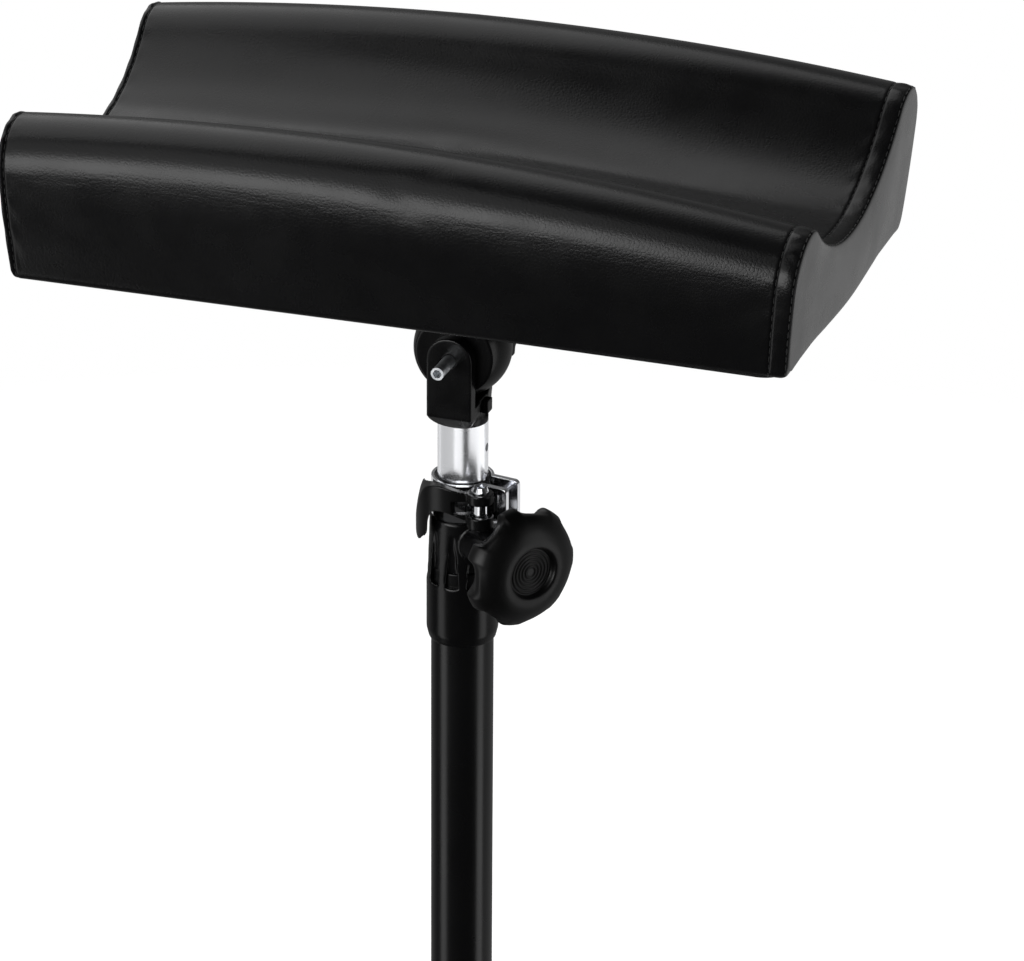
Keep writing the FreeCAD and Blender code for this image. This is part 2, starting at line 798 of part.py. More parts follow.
def drill(shape, radius, low, high):
    """Cut the four screw holes of the pad through a shape."""
    for x, y in screw_places():
        shape = shape.cut(rod(FreeCAD.Vector(x, y, low), up, radius, high - low))
    return shape


def make_tilt_ball():
    """Ball with flat sides, on a neck that ends in a flange under the pad."""
    centre = FreeCAD.Vector(0, 0, tilt_height)
    side = ear_inside - ball_side_gap
    ball = Part.makeSphere(ball_radius, centre)
    between = block((-ball_radius, -side, tilt_height - ball_radius - overrun),
                    (ball_radius, side, flange_bottom))
    ball = ball.common(between)
    neck = rod(centre, up, ball_neck_radius, flange_bottom - tilt_height + overrun)
    neck = neck.common(block((-ball_radius, -side, tilt_height),
                             (ball_radius, side, flange_bottom + overrun)))
    flange = rounded_plate(flange_length, flange_width, flange_corner, flange_bottom,
                           plate_bottom)
    body = ball.fuse(neck).fuse(flange)
    bore = rod(FreeCAD.Vector(0, -ball_radius, tilt_height), along_y,
               tilt_bolt_radius + run_gap, 2 * ball_radius)
    body = body.cut(bore)
    return drill(body, pad_screw_radius + seat_gap, flange_bottom - overrun,
                 plate_bottom + overrun)


def make_mount_plate():
    plate = rounded_plate(plate_length, plate_width, plate_corner, plate_bottom, pad_bottom)
    return drill(plate, pad_screw_radius + seat_gap, plate_bottom - overrun,
                 pad_bottom + overrun)


def make_pad_cloth():
    margin = pad_foot_inset + cloth_margin
    length = pad_length - 2 * (pad_end_lean + cloth_margin)
    cloth = rounded_plate(length, pad_width - 2 * margin, board_corner, pad_bottom,
                          pad_bottom + cloth_height)
    return drill(cloth, pad_screw_radius + seat_gap, pad_bottom - overrun,
                 pad_bottom + cloth_height + overrun)


def make_pad_board():
    board = rounded_plate(board_length, board_width, board_corner, board_bottom, board_top)
    return drill(board, tee_nut_radius + seat_gap, board_bottom - overrun,
                 board_top + overrun)


def make_tee_nuts():
    nuts = []
    for x, y in screw_places():
        base = FreeCAD.Vector(x, y, board_bottom)
        body = rod(base, up, tee_nut_radius, board_height)
        body = body.fuse(rod(base + up * board_height, up, tee_nut_flange_radius,
                             tee_nut_flange_height))
        bore = rod(base - up * overrun, up, pad_screw_radius + seat_gap,
                   board_height + tee_nut_flange_height + 2 * overrun)
        nuts.append(body.cut(bore))
    return Part.makeCompound(nuts)


def make_pad_screws():
    screws = []
    edge = pad_screw_head_height / 3
    for x, y in screw_places():
        head = turned([
            (0, 0), (pad_screw_head_radius - edge, 0), (pad_screw_head_radius, edge),
            (pad_screw_head_radius, pad_screw_head_height), (0, pad_screw_head_height),
        ])
        socket = hexagon(pad_screw_radius, -overrun, pad_screw_head_height / 2 + overrun)
        shank = disc(pad_screw_radius, pad_screw_head_height - edge,
                     pad_screw_head_height + board_top - flange_bottom)
        screw = head.cut(socket).fuse(shank)
        screw.translate(FreeCAD.Vector(x, y, flange_bottom - pad_screw_head_height))
        screws.append(screw)
    return Part.makeCompound(screws)


def arc_points(centre_y, centre_z, radius, start, end):
    """Start, middle and end of an arc in the YZ plane, from two angles in degrees."""
    points = []
    for angle in (start, (start + end) / 2, end):
        turn = math.radians(angle)
        points.append((centre_y + radius * math.cos(turn),
                       centre_z + radius * math.sin(turn)))
    return points


def pad_side(sign, crest, trough, inset, floor):
    """One half of the pad's outline, sign -1 in front and 1 behind.

    The long wall bows out from a rounded foot to a crest arc. The trough's arc
    touches the crest arc and is level at its own low end.
    """
    foot = pad_width / 2 - pad_foot_inset - inset
    wall = pad_width / 2 - inset
    radius = crest_round - inset
    centre_y = sign * (wall - radius)
    centre_z = crest - radius
    reach = abs(centre_y - trough_offset)
    drop = centre_z - trough
    span = (reach ** 2 + drop ** 2 - radius ** 2) / (2 * (radius + drop))
    trough_z = trough + span
    lean = math.degrees(math.atan2(trough_z - centre_z, reach))
    corner = pad_corner * (1 - math.sqrt(0.5))
    if sign > 0:
        crest_turn = (0, 180 - lean)
        trough_turn = (-lean, -90)
    else:
        crest_turn = (180, lean)
        trough_turn = (lean - 180, -90)
    return {
        "foot": [(sign * (foot - pad_corner), floor), (sign * (foot - corner), floor + corner),
                 (sign * foot, floor + pad_corner)],
        "wall": [(sign * foot, floor + pad_corner),
                 (sign * ((foot + wall) / 2 + pad_wall_bow), (floor + pad_corner + centre_z) / 2),
                 (sign * wall, centre_z)],
        "crest": arc_points(centre_y, centre_z, radius, crest_turn[0], crest_turn[1]),
        "trough": arc_points(trough_offset, trough_z, span, trough_turn[0], trough_turn[1]),
    }


def section_wire(share, inset, floor):
    """The pad's outline at a share of its length, leaning out towards the nearer end."""
    rise = 1 - (2 * share) ** 2
    trough = pad_trough + pad_trough_arch * rise - inset
    lean = pad_end_lean * 2 * share

    def point(place):
        y, z = place
        x = share * (pad_length - 2 * inset) - lean * (1 - z / pad_back_crest)
        return FreeCAD.Vector(x, y, pad_bottom + z)

    def arc(places):
        return Part.Arc(point(places[0]), point(places[1]), point(places[2]))

    front = pad_side(-1, pad_front_crest + pad_arch * rise - inset, trough, inset, floor)
    back = pad_side(1, pad_back_crest + pad_arch * rise - inset, trough, inset, floor)
    curves = [Part.LineSegment(point(front["foot"][0]), point(back["foot"][0]))]
    for name in ("foot", "wall", "crest", "trough"):
        curves.append(arc(back[name]))
    for name in ("trough", "crest", "wall", "foot"):
        curves.append(arc(front[name][::-1]))
    return Part.Wire([curve.toShape() for curve in curves])


def pad_form(inset, floor):
    wires = [section_wire(share, inset, floor) for share in pad_stations_shares]
    return Part.makeLoft(wires, True, False)


def board_pocket(extra, bottom, top):
    """Room for the board and the nuts on top of it."""
    room = rounded_plate(board_length + 2 * extra, board_width + 2 * extra,
                         board_corner, bottom, top)
    for x, y in screw_places():
        room = room.fuse(rod(FreeCAD.Vector(x, y, top - overrun), up,
                             tee_nut_flange_radius + extra,
                             tee_nut_flange_height + extra + overrun))
    return room


def make_pad_foam():
    foam = pad_form(skin + seat_gap, cloth_height + face_gap)
    return foam.cut(board_pocket(face_gap, pad_bottom - overrun, board_top + seat_gap))


def make_pad_cover():
    """Sewn cover: a skin round the foam, open where the cloth closes the bottom."""
    cover = pad_form(0, 0).cut(pad_form(skin, -overrun))
    margin = pad_foot_inset + cloth_margin - face_gap
    length = pad_length - 2 * (pad_end_lean + cloth_margin - face_gap)
    window = rounded_plate(length, pad_width - 2 * margin, board_corner,
                           pad_bottom - overrun, pad_bottom + pad_corner)
    return cover.cut(window)


def leg_placement(angle):
    """Frame of a leg: Z runs down the leg from its pivot, Y along the pivot pin."""
    turn = FreeCAD.Rotation(up, angle).multiply(FreeCAD.Rotation(along_y, 180 - spread_angle))
    return FreeCAD.Placement(at_angle(pivot_radius, angle, hub_pivot_height), turn)


def brace_placement(angle):
    """Frame of a brace: Z runs up the brace from its lower pin."""
    turn = FreeCAD.Rotation(up, angle).multiply(FreeCAD.Rotation(along_y, spread_angle))
    return FreeCAD.Placement(at_angle(pivot_radius, angle, brace_pivot_height), turn)


def make_leg_tube(angle):
    tube = ring(leg_radius, leg_radius - leg_wall, leg_eye_reach, leg_length)
    return put(tube, leg_placement(angle))


def make_leg_eye(angle):
    """Eye that turns on the hub's pin, with a plug inside the leg."""
    half = leg_eye_width / 2
    eye = rod(FreeCAD.Vector(0, -half, 0), along_y, leg_eye_radius, leg_eye_width)
    tongue = block((-leg_eye_radius, -half, 0), (leg_eye_radius, half, leg_eye_reach))
    plug = disc(leg_radius - leg_wall - seat_gap, leg_eye_reach - overrun,
                leg_eye_reach + leg_plug_length)
    shape = eye.fuse(tongue).fuse(plug)
    shape = shape.cut(rod(FreeCAD.Vector(0, -leg_eye_width, 0), along_y,
                          leg_pin_radius + run_gap, 2 * leg_eye_width))
    return put(shape, leg_placement(angle))


def make_leg_foot(angle):
    """Rubber foot with a round end that is cut flat where it meets the floor."""
    top = leg_length + leg_foot_drop - leg_foot_length
    foot = disc(leg_foot_radius, top, leg_length)
    foot = foot.fuse(Part.makeSphere(leg_foot_radius, FreeCAD.Vector(0, 0, leg_length)))
    foot = foot.cut(disc(leg_radius + seat_gap, top - overrun, leg_length + seat_gap))
    foot = put(foot, leg_placement(angle))
    reach = pivot_radius + 2 * leg_length
    below = block((-reach, -reach, -2 * leg_foot_radius), (reach, reach, 0))
    return foot.cut(below)


def brace_strip(side):
    """One flat strip with round ends and a hole at each end."""
    half = brace_width / 2
    inner = leg_radius + face_gap
    low = inner if side > 0 else -inner - brace_wall
    strip = block((-half, low, 0), (half, low + brace_wall, brace_length))
    for height in (0, brace_length):
        strip = strip.fuse(rod(FreeCAD.Vector(0, low, height), along_y, half, brace_wall))
    for height in (0, brace_length):
        strip = strip.cut(rod(FreeCAD.Vector(0, low - overrun, height), along_y,
                              brace_pin_radius + run_gap, brace_wall + 2 * overrun))
    return strip


def make_brace(angle):
    strips = [put(brace_strip(side), brace_placement(angle)) for side in (-1, 1)]
    return Part.makeCompound(strips)


def make_brace_rivets(angle):
    """Rivet ends at the leg, one in each strip."""
    rivets = []
    inner = leg_radius + face_gap
    for side in (-1, 1):
        start = FreeCAD.Vector(0, side * inner, brace_length)
        shank = rod(start, along_y * side, brace_pin_radius, brace_wall)
        head = rod(start + along_y * (side * brace_wall), along_y * side,
                   brace_pin_radius + pin_head_extra, pin_head_height)
        rivets.append(put(shank.fuse(head), brace_placement(angle)))
    return Part.makeCompound(rivets)


def make_pin(radius, half, place, angle):
    """Pin with a head at each end, across a leg's plane."""
    across = direction(angle + 90)
    pin = rod(place - across * half, across, radius, 2 * half)
    for sign in (-1, 1):
        pin = pin.fuse(rod(place + across * (sign * half), across * sign,
                           radius + pin_head_extra, pin_head_height))
    return pin


def make_leg_pins():
    half = hub_ear_inside + hub_ear_wall + seat_gap
    pins = [make_pin(leg_pin_radius, half, at_angle(pivot_radius, angle, hub_pivot_height),
                     angle) for angle in leg_angles]
    return Part.makeCompound(pins)


def make_brace_pins():
    half = leg_radius + face_gap + brace_wall + face_gap
    pins = [make_pin(brace_pin_radius, half,
                     at_angle(pivot_radius, angle, brace_pivot_height), angle)
            for angle in leg_angles]
    return Part.makeCompound(pins)


def make_leg_hub():
    """Hub that slides on the pole, with two ears for each leg and a knob's boss."""
    top = hub_bottom + hub_height
    hub = disc(pole_radius + hub_wall, hub_bottom, top)
    side = hub_ear_inside + hub_ear_wall
    for angle in leg_angles:
        place = FreeCAD.Vector(pivot_radius, -side, hub_pivot_height)
        ears = rod(place, along_y, leg_eye_radius, 2 * side)
        ears = ears.fuse(block((0, -side, hub_pivot_height - leg_eye_radius),
                               (pivot_radius, side, hub_pivot_height + leg_eye_radius)))
        room = block((pivot_radius - leg_eye_radius - face_gap, -hub_ear_inside,
                      hub_bottom - overrun),
                     (2 * pivot_radius, hub_ear_inside, top + overrun))
        hole = rod(FreeCAD.Vector(pivot_radius, -2 * side, hub_pivot_height), along_y,
                   leg_pin_radius + seat_gap, 4 * side)
        for shape in (ears, room, hole):
            shape.rotate(origin, up, angle)
        hub = hub.fuse(ears).cut(room).cut(hole)
    axis = direction(hub_knob_angle)
    hub = hub.fuse(rod(at_angle(0, hub_knob_angle, hub_lock_height), axis, hub_boss_radius,
                       hub_boss_reach))
    hub = hub.cut(disc(pole_radius + run_gap, hub_bottom - overrun, top + overrun))
    hub = hub.cut(rod(at_angle(0, hub_knob_angle, hub_lock_height), axis,
                      hub_shoe_radius + run_gap, hub_boss_reach - hub_insert_length))
    start = at_angle(hub_boss_reach - hub_insert_length, hub_knob_angle, hub_lock_height)
    return hub.cut(rod(start, axis, hub_insert_radius + seat_gap,
                       hub_insert_length + overrun))


def make_hub_insert():
    axis = direction(hub_knob_angle)
    start = at_angle(hub_boss_reach - hub_insert_length, hub_knob_angle, hub_lock_height)
    bush = rod(start, axis, hub_insert_radius, hub_insert_length)
    return bush.cut(rod(start - axis * overrun, axis, hub_stud_radius + run_gap,
                        hub_insert_length + 2 * overrun))


def make_hub_shoe():
    start = at_angle(pole_radius + face_gap, hub_knob_angle, hub_lock_height)
    return rod(start, direction(hub_knob_angle), hub_shoe_radius, hub_shoe_height)


def make_hub_stud():
    first = pole_radius + face_gap + hub_shoe_height
    last = hub_boss_reach + overrun + hub_stud_grip
    start = at_angle(first, hub_knob_angle, hub_lock_height)
    return rod(start, direction(hub_knob_angle), hub_stud_radius, last - first)


def make_hub_knob():
    outline = small_knob_outline(hub_knob_radius, hub_knob_hub_radius,
                                 hub_knob_rim_height, hub_knob_height)
    sizes = {
        "outline": outline, "lobes": hub_knob_lobes, "turn": 0,
        "scallop": hub_scallop_radius, "depth": hub_scallop_depth,
        "radius": hub_knob_radius, "height": hub_knob_height,
    }
    knob = star_knob(sizes)
    knob = knob.cut(disc(hub_stud_radius + seat_gap, -overrun, hub_stud_grip))
    place = at_angle(hub_boss_reach + overrun, hub_knob_angle, hub_lock_height)
    return put(knob, knob_frame(place, hub_knob_angle))


def make_base_bracket():
    """Fixed bracket at the lower end of the pole that carries the braces."""
    bottom = pole_foot_height + face_gap
    top = bottom + bracket_height
    bracket = disc(pole_radius + bracket_wall, bottom, top)
    for angle in leg_angles:
        place = FreeCAD.Vector(pivot_radius, -leg_radius, brace_pivot_height)
        lug = rod(place, along_y, bracket_lug_radius, 2 * leg_radius)
        lug = lug.fuse(block((0, -leg_radius, brace_pivot_height - bracket_lug_radius),
                             (pivot_radius, leg_radius,
                              brace_pivot_height + bracket_lug_radius)))
        hole = rod(FreeCAD.Vector(pivot_radius, -2 * leg_radius, brace_pivot_height),
                   along_y, brace_pin_radius + seat_gap, 4 * leg_radius)
        lug = lug.cut(hole)
        lug.rotate(origin, up, angle)
        bracket = bracket.fuse(lug)
    bracket = bracket.cut(disc(pole_radius + seat_gap, bottom - overrun, top + overrun))
    screw = rod(at_angle(0, bracket_screw_angle, brace_pivot_height),
                direction(bracket_screw_angle), bracket_screw_radius + seat_gap,
                2 * pole_radius)
    return bracket.cut(screw)


def make_bracket_screw():
    """Grub screw that bears on the pole, flush with the bracket."""
    length = bracket_wall - 2 * seat_gap
    start = at_angle(pole_radius + 2 * seat_gap, bracket_screw_angle, brace_pivot_height)
    axis = direction(bracket_screw_angle)
    screw = rod(start, axis, bracket_screw_radius, length)
    width = bracket_screw_radius
    socket = aimed(hexagon(width, -overrun, length / 2 + overrun),
                   start + axis * length, -axis)
    return screw.cut(socket)


def all_pieces():
    pieces = {
        "outer_pole": make_outer_pole(), "pole_foot": make_pole_foot(),
        "pole_collar": make_collar(), "lock_insert": make_lock_insert(),
        "clamp_band": make_clamp_band(), "cam_washer": make_cam_washer(),
        "clamp_bolt": make_clamp_bolt(), "clamp_washer": make_clamp_washer(),
        "barrel_pin": make_barrel_pin(), "barrel_screw": make_barrel_screw(),
        "cam_lever": make_cam_lever(), "lock_knob": make_lock_knob(),
        "lock_knob_cap": make_lock_knob_cap(), "lock_stud": make_lock_stud(),
        "lock_shoe": make_lock_shoe(), "inner_tube": make_inner_tube(),
        "tube_guide": make_tube_guide(), "yoke": make_yoke(),
        "stem_pin": make_stem_pin(), "side_screw": make_side_screw(),
        "tilt_bolt": make_tilt_bolt(), "tilt_washer": make_tilt_washer(),
        "tilt_knob": make_tilt_knob(), "tilt_insert": make_tilt_insert(),
        "tilt_ball": make_tilt_ball(), "mount_plate": make_mount_plate(),
        "pad_cloth": make_pad_cloth(), "pad_board": make_pad_board(),
        "tee_nuts": make_tee_nuts(), "pad_screws": make_pad_screws(),
        "pad_foam": make_pad_foam(), "pad_cover": make_pad_cover(),
        "leg_hub": make_leg_hub(), "hub_insert": make_hub_insert(),
        "hub_shoe": make_hub_shoe(), "hub_stud": make_hub_stud(),
        "hub_knob": make_hub_knob(), "leg_pins": make_leg_pins(),
        "base_bracket": make_base_bracket(), "bracket_screw": make_bracket_screw(),
        "brace_pins": make_brace_pins(),
    }
    for number, angle in enumerate(leg_angles, 1):
        pieces[f"leg_tube_{number}"] = make_leg_tube(angle)
        pieces[f"leg_eye_{number}"] = make_leg_eye(angle)
        pieces[f"leg_foot_{number}"] = make_leg_foot(angle)
        pieces[f"brace_{number}"] = make_brace(angle)
        pieces[f"brace_rivets_{number}"] = make_brace_rivets(angle)
    return pieces


os.makedirs("parts", exist_ok=True)
for node, shape in all_pieces().items():
    shape.exportStep(f"parts/{node}.step")
    print(node, len(shape.Solids), shape.isValid(), round(shape.Volume))
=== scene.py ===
import json
import math

import bmesh
import bpy
import numpy as np
from mathutils import Matrix, Vector
from mathutils.kdtree import KDTree


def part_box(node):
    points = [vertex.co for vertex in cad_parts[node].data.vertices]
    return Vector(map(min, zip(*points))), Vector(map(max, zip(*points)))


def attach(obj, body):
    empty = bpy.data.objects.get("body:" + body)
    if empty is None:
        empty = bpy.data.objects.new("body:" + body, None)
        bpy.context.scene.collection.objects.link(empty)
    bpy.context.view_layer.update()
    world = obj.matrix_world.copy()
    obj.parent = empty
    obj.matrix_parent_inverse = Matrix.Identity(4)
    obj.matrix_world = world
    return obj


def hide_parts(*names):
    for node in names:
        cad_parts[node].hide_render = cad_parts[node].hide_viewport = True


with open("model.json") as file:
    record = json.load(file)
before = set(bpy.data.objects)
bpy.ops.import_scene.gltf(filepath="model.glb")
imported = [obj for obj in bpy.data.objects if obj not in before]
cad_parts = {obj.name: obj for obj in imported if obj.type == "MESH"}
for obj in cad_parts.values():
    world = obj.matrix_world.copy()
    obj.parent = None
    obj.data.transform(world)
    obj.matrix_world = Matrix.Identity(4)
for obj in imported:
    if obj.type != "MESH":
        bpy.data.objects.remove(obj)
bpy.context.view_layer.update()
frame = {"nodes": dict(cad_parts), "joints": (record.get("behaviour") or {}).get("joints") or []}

mm = 0.001
nodes = frame["nodes"]


# Colours and shader nodes

def linear(hexColour):
    # sRGB hex to the linear colour that a socket wants
    parts = [int(hexColour[i:i + 2], 16) / 255 for i in (1, 3, 5)]
    return tuple(c / 12.92 if c <= 0.04045 else ((c + 0.055) / 1.055) ** 2.4 for c in parts) + (1.0,)


def addNode(tree, kind, settings=None, links=None):
    # numbers and socket names set inputs, other names set the node's own properties
    node = tree.nodes.new(kind)
    for key, value in (settings or {}).items():
        if isinstance(key, int) or key in node.inputs:
            node.inputs[key].default_value = value
        else:
            setattr(node, key, value)
    for key, source in (links or {}).items():
        tree.links.new(source, node.inputs[key])
    return node


def newMaterial(name, settings):
    # a material with one Principled shader; the settings go on its sockets
    material = bpy.data.materials.new(name)
    material.use_nodes = True
    tree = material.node_tree
    shader = tree.nodes["Principled BSDF"]
    for key, value in settings.items():
        shader.inputs[key].default_value = value
    return material, tree, shader


def objectPoint(tree, scale=(1, 1, 1)):
    # place on the piece in metres, stretched by the scale
    place = addNode(tree, "ShaderNodeTexCoord").outputs["Object"]
    return addNode(tree, "ShaderNodeMapping", {"Scale": scale}, {"Vector": place}).outputs[0]


def noiseAt(tree, point, sizeInMm, detail=2.0, roughness=0.5):
    # noise whose lumps are about the size given
    settings = {"Scale": 1000 / sizeInMm, "Detail": detail, "Roughness": roughness}
    return addNode(tree, "ShaderNodeTexNoise", settings, {"Vector": point}).outputs["Fac"]


def ramp(tree, source, low, high, lowColour, highColour):
    # two colours, or two greys, blended between two values of the source
    node = addNode(tree, "ShaderNodeValToRGB", {}, {"Fac": source})
    node.color_ramp.elements[0].position = low
    node.color_ramp.elements[1].position = high
    node.color_ramp.elements[0].color = lowColour
    node.color_ramp.elements[1].color = highColour
    return node.outputs["Color"]


def grey(value):
    return (value, value, value, 1.0)


def tint(tree, shader, source, low, high, dark, light):
    # a base colour that goes from dark to light with the source
    colour = ramp(tree, source, low, high, linear(dark), linear(light))
    tree.links.new(colour, shader.inputs["Base Color"])


def roughen(tree, shader, source, low, high, span):
    # a roughness that runs over the span with the source
    rough = ramp(tree, source, low, high, grey(span[0]), grey(span[1]))
    tree.links.new(rough, shader.inputs["Roughness"])


def bump(tree, shader, height, depthInMm, under=None):
    # surface relief of a real depth, on top of any relief under it
    links = {"Height": height}
    if under is not None:
        links["Normal"] = under
    settings = {"Distance": depthInMm * mm, "Strength": 1.0}
    normal = addNode(tree, "ShaderNodeBump", settings, links).outputs["Normal"]
    tree.links.new(normal, shader.inputs["Normal"])
    return normal


def makeLeatherette():
    # polyurethane-coated knit: embossed hair-cell grain, near black, satin, creased where it bends
    colour = {"light": "#0d0d0e", "dark": "#070708"}
    grain = {"cell": 1.7, "depth": 0.022}  # the real cells are 0.8 mm; twice that shows in the picture
    crease = {"long": 20.0, "across": 3.2, "depth": 0.22}
    material, tree, shader = newMaterial("embossedLeatherette", {
        "Roughness": 0.3, "Sheen Weight": 0.02, "Sheen Roughness": 0.4, "IOR": 1.5,
    })
    point = objectPoint(tree)
    tone = noiseAt(tree, point, 60, 3)
    tint(tree, shader, tone, 0.35, 0.7, colour["dark"], colour["light"])
    roughen(tree, shader, noiseAt(tree, point, 22, 3), 0.3, 0.75, (0.24, 0.31))
    # painted shade: the specular level drops in the stitched lines, darkening them as shade in the seam
    # groove would
    seam = addNode(tree, "ShaderNodeAttribute", {"attribute_name": "seamShade"}).outputs["Fac"]
    paintedSeamShade = ramp(tree, seam, 0.05, 0.7, grey(0.4), grey(0.04))
    tree.links.new(paintedSeamShade, shader.inputs["Specular IOR Level"])
    voronoi = {"feature": "DISTANCE_TO_EDGE", "Scale": 1000 / grain["cell"]}
    cells = addNode(tree, "ShaderNodeTexVoronoi", voronoi, {"Vector": point}).outputs["Distance"]
    edges = ramp(tree, cells, 0.0, 0.25, grey(0.0), grey(1.0))
    under = bump(tree, shader, edges, grain["depth"])
    stretched = objectPoint(tree, (crease["across"] / crease["long"], 1, 1))
    folds = noiseAt(tree, stretched, crease["across"], 4, 0.6)
    amount = addNode(tree, "ShaderNodeAttribute", {"attribute_name": "creaseAmount"}).outputs["Fac"]
    height = addNode(tree, "ShaderNodeMath", {"operation": "MULTIPLY"}, {0: folds, 1: amount}).outputs[0]
    bump(tree, shader, height, crease["depth"], under=under)
    return material


def makeThread():
    # bonded polyester thread: black, twisted, faintly shiny
    material, tree, shader = newMaterial("bondedThread", {"Roughness": 0.55, "Sheen Weight": 0.2})
    wave = {"Scale": 1000 / 1.2, "Distortion": 0.4, "bands_direction": "DIAGONAL"}
    twist = addNode(tree, "ShaderNodeTexWave", wave, {"Vector": objectPoint(tree)}).outputs["Fac"]
    tint(tree, shader, twist, 0.2, 0.8, "#070707", "#161617")
    bump(tree, shader, twist, 0.05)
    return material


def makeMoulded(name, colours, roughness, texture):
    # injection-moulded glass-filled nylon or ABS: black, a fine spark-eroded texture, faint flow marks
    material, tree, shader = newMaterial(name, {"IOR": 1.5, "Specular IOR Level": 0.4})
    point = objectPoint(tree)
    flow = noiseAt(tree, objectPoint(tree, (1, 1, 0.35)), 18, 3)
    tint(tree, shader, flow, 0.3, 0.75, *colours)
    roughen(tree, shader, flow, 0.3, 0.7, roughness)
    bump(tree, shader, noiseAt(tree, point, texture["size"], 2), texture["depth"])
    return material


def makeGlossEnamel():
    # stoved gloss enamel on steel tube: deep black, a hard clear face with a faint orange peel
    material, tree, shader = newMaterial("stovedEnamel", {
        "Base Color": linear("#040405"), "IOR": 1.5, "Coat Weight": 0.2, "Coat Roughness": 0.2,
    })
    point = objectPoint(tree)
    roughen(tree, shader, noiseAt(tree, point, 45, 2), 0.3, 0.7, (0.25, 0.31))
    bump(tree, shader, noiseAt(tree, point, 5, 1), 0.012)
    return material


def makePowderCoat():
    # polyester powder coat on cast or pressed steel: satin black with a fine peel
    material, tree, shader = newMaterial("satinPowderCoat", {"IOR": 1.5, "Specular IOR Level": 0.4})
    point = objectPoint(tree)
    tone = noiseAt(tree, point, 14, 3)
    tint(tree, shader, tone, 0.3, 0.7, "#050506", "#09090a")
    roughen(tree, shader, tone, 0.3, 0.7, (0.22, 0.3))
    bump(tree, shader, noiseAt(tree, point, 1.4, 2), 0.03)
    return material


def makeChrome(name, roughness, relief):
    # bright chrome on nickel: a mirror with faint polishing marks
    material, tree, shader = newMaterial(name, {"Base Color": linear("#e6e7ea"), "Metallic": 1.0})
    marks = noiseAt(tree, objectPoint(tree, (1, 1, 14)), 9, 3)
    roughen(tree, shader, marks, 0.3, 0.75, roughness)
    bump(tree, shader, marks, relief)
    return material


def makeZinc():
    # bright zinc plate on turned steel: grey-blue, slightly mottled, soft shine
    material, tree, shader = newMaterial("zincPlate", {"Metallic": 1.0})
    point = objectPoint(tree)
    mottle = noiseAt(tree, point, 2.4, 3)
    tint(tree, shader, mottle, 0.35, 0.7, "#b4b7bb", "#d2d4d6")
    roughen(tree, shader, mottle, 0.3, 0.75, (0.34, 0.48))
    bump(tree, shader, noiseAt(tree, point, 0.8, 2), 0.01)
    return material


def makeBrass():
    # turned brass inserts: yellow metal with tool marks
    material, tree, shader = newMaterial("turnedBrass", {"Metallic": 1.0})
    marks = noiseAt(tree, objectPoint(tree, (1, 1, 6)), 1.2, 2)
    tint(tree, shader, marks, 0.3, 0.7, "#b08a45", "#d0ab63")
    roughen(tree, shader, marks, 0.3, 0.7, (0.24, 0.38))
    bump(tree, shader, marks, 0.01)
    return material


def makeRubber():
    # moulded rubber feet: dull black with a dusty bloom
    material, tree, shader = newMaterial("mouldedRubber", {"Specular IOR Level": 0.35, "IOR": 1.52})
    point = objectPoint(tree)
    bloom = noiseAt(tree, point, 7, 4)
    tint(tree, shader, bloom, 0.35, 0.75, "#101010", "#1d1d1c")
    roughen(tree, shader, bloom, 0.3, 0.75, (0.6, 0.8))
    bump(tree, shader, noiseAt(tree, point, 0.7, 3), 0.05)
    return material


def makePlywood():
    # birch plywood board: pale rotary-cut veneer, long soft grain
    material, tree, shader = newMaterial("birchPlywood", {"Roughness": 0.62})
    wave = {"Scale": 1000 / 30, "Distortion": 6.0, "Detail": 3.0, "bands_direction": "Y"}
    stretched = objectPoint(tree, (0.08, 1, 1))
    grain = addNode(tree, "ShaderNodeTexWave", wave, {"Vector": stretched}).outputs["Fac"]
    tint(tree, shader, grain, 0.1, 0.9, "#c9a877", "#dcc197")
    bump(tree, shader, grain, 0.05)
    return material


def makeNonwoven():
    # spunbond dust cover: matt black fibres, pressed flat at a 2.4 mm grid of weld points
    material, tree, shader = newMaterial("spunbondCloth", {"Specular IOR Level": 0.2, "Sheen Weight": 0.15})
    point = objectPoint(tree)
    fibres = noiseAt(tree, objectPoint(tree, (0.3, 1, 1)), 1.6, 4, 0.7)
    welds = addNode(tree, "ShaderNodeTexVoronoi", {"Scale": 1000 / 2.4, "Randomness": 0.0},
                    {"Vector": point}).outputs["Distance"]
    dots = ramp(tree, welds, 0.15, 0.4, grey(0.0), grey(1.0))
    tint(tree, shader, fibres, 0.3, 0.7, "#0d0d0e", "#1c1c1d")
    roughen(tree, shader, fibres, 0.3, 0.7, (0.75, 0.9))
    under = bump(tree, shader, fibres, 0.15)
    bump(tree, shader, dots, 0.2, under=under)
    return material


nylons = {
    "glossNylon": (("#050506", "#09090a"), (0.22, 0.3), {"size": 3.0, "depth": 0.012}),
    "satinNylon": (("#050505", "#0a0a0b"), (0.32, 0.42), {"size": 0.9, "depth": 0.02}),
    "leverNylon": (("#070707", "#0b0b0c"), (0.24, 0.32), {"size": 2.0, "depth": 0.01}),
}
materials = {
    "leather": makeLeatherette(),
    "thread": makeThread(),
    **{name: makeMoulded(name, *settings) for name, settings in nylons.items()},
    "enamel": makeGlossEnamel(),
    "powder": makePowderCoat(),
    "chrome": makeChrome("brightChrome", (0.06, 0.12), 0.003),
    "band": makeChrome("polishedBand", (0.12, 0.17), 0.001),
    "tube": makeChrome("polishedTube", (0.25, 0.28), 0.0004),
    "zinc": makeZinc(),
    "brass": makeBrass(),
    "rubber": makeRubber(),
    "plywood": makePlywood(),
    "nonwoven": makeNonwoven(),
}
print("stage: materials", len(materials))


# Meshes

def linkObject(name, data):
    # a new object in the scene
    made = bpy.data.objects.new(name, data)
    bpy.context.scene.collection.objects.link(made)
    return made


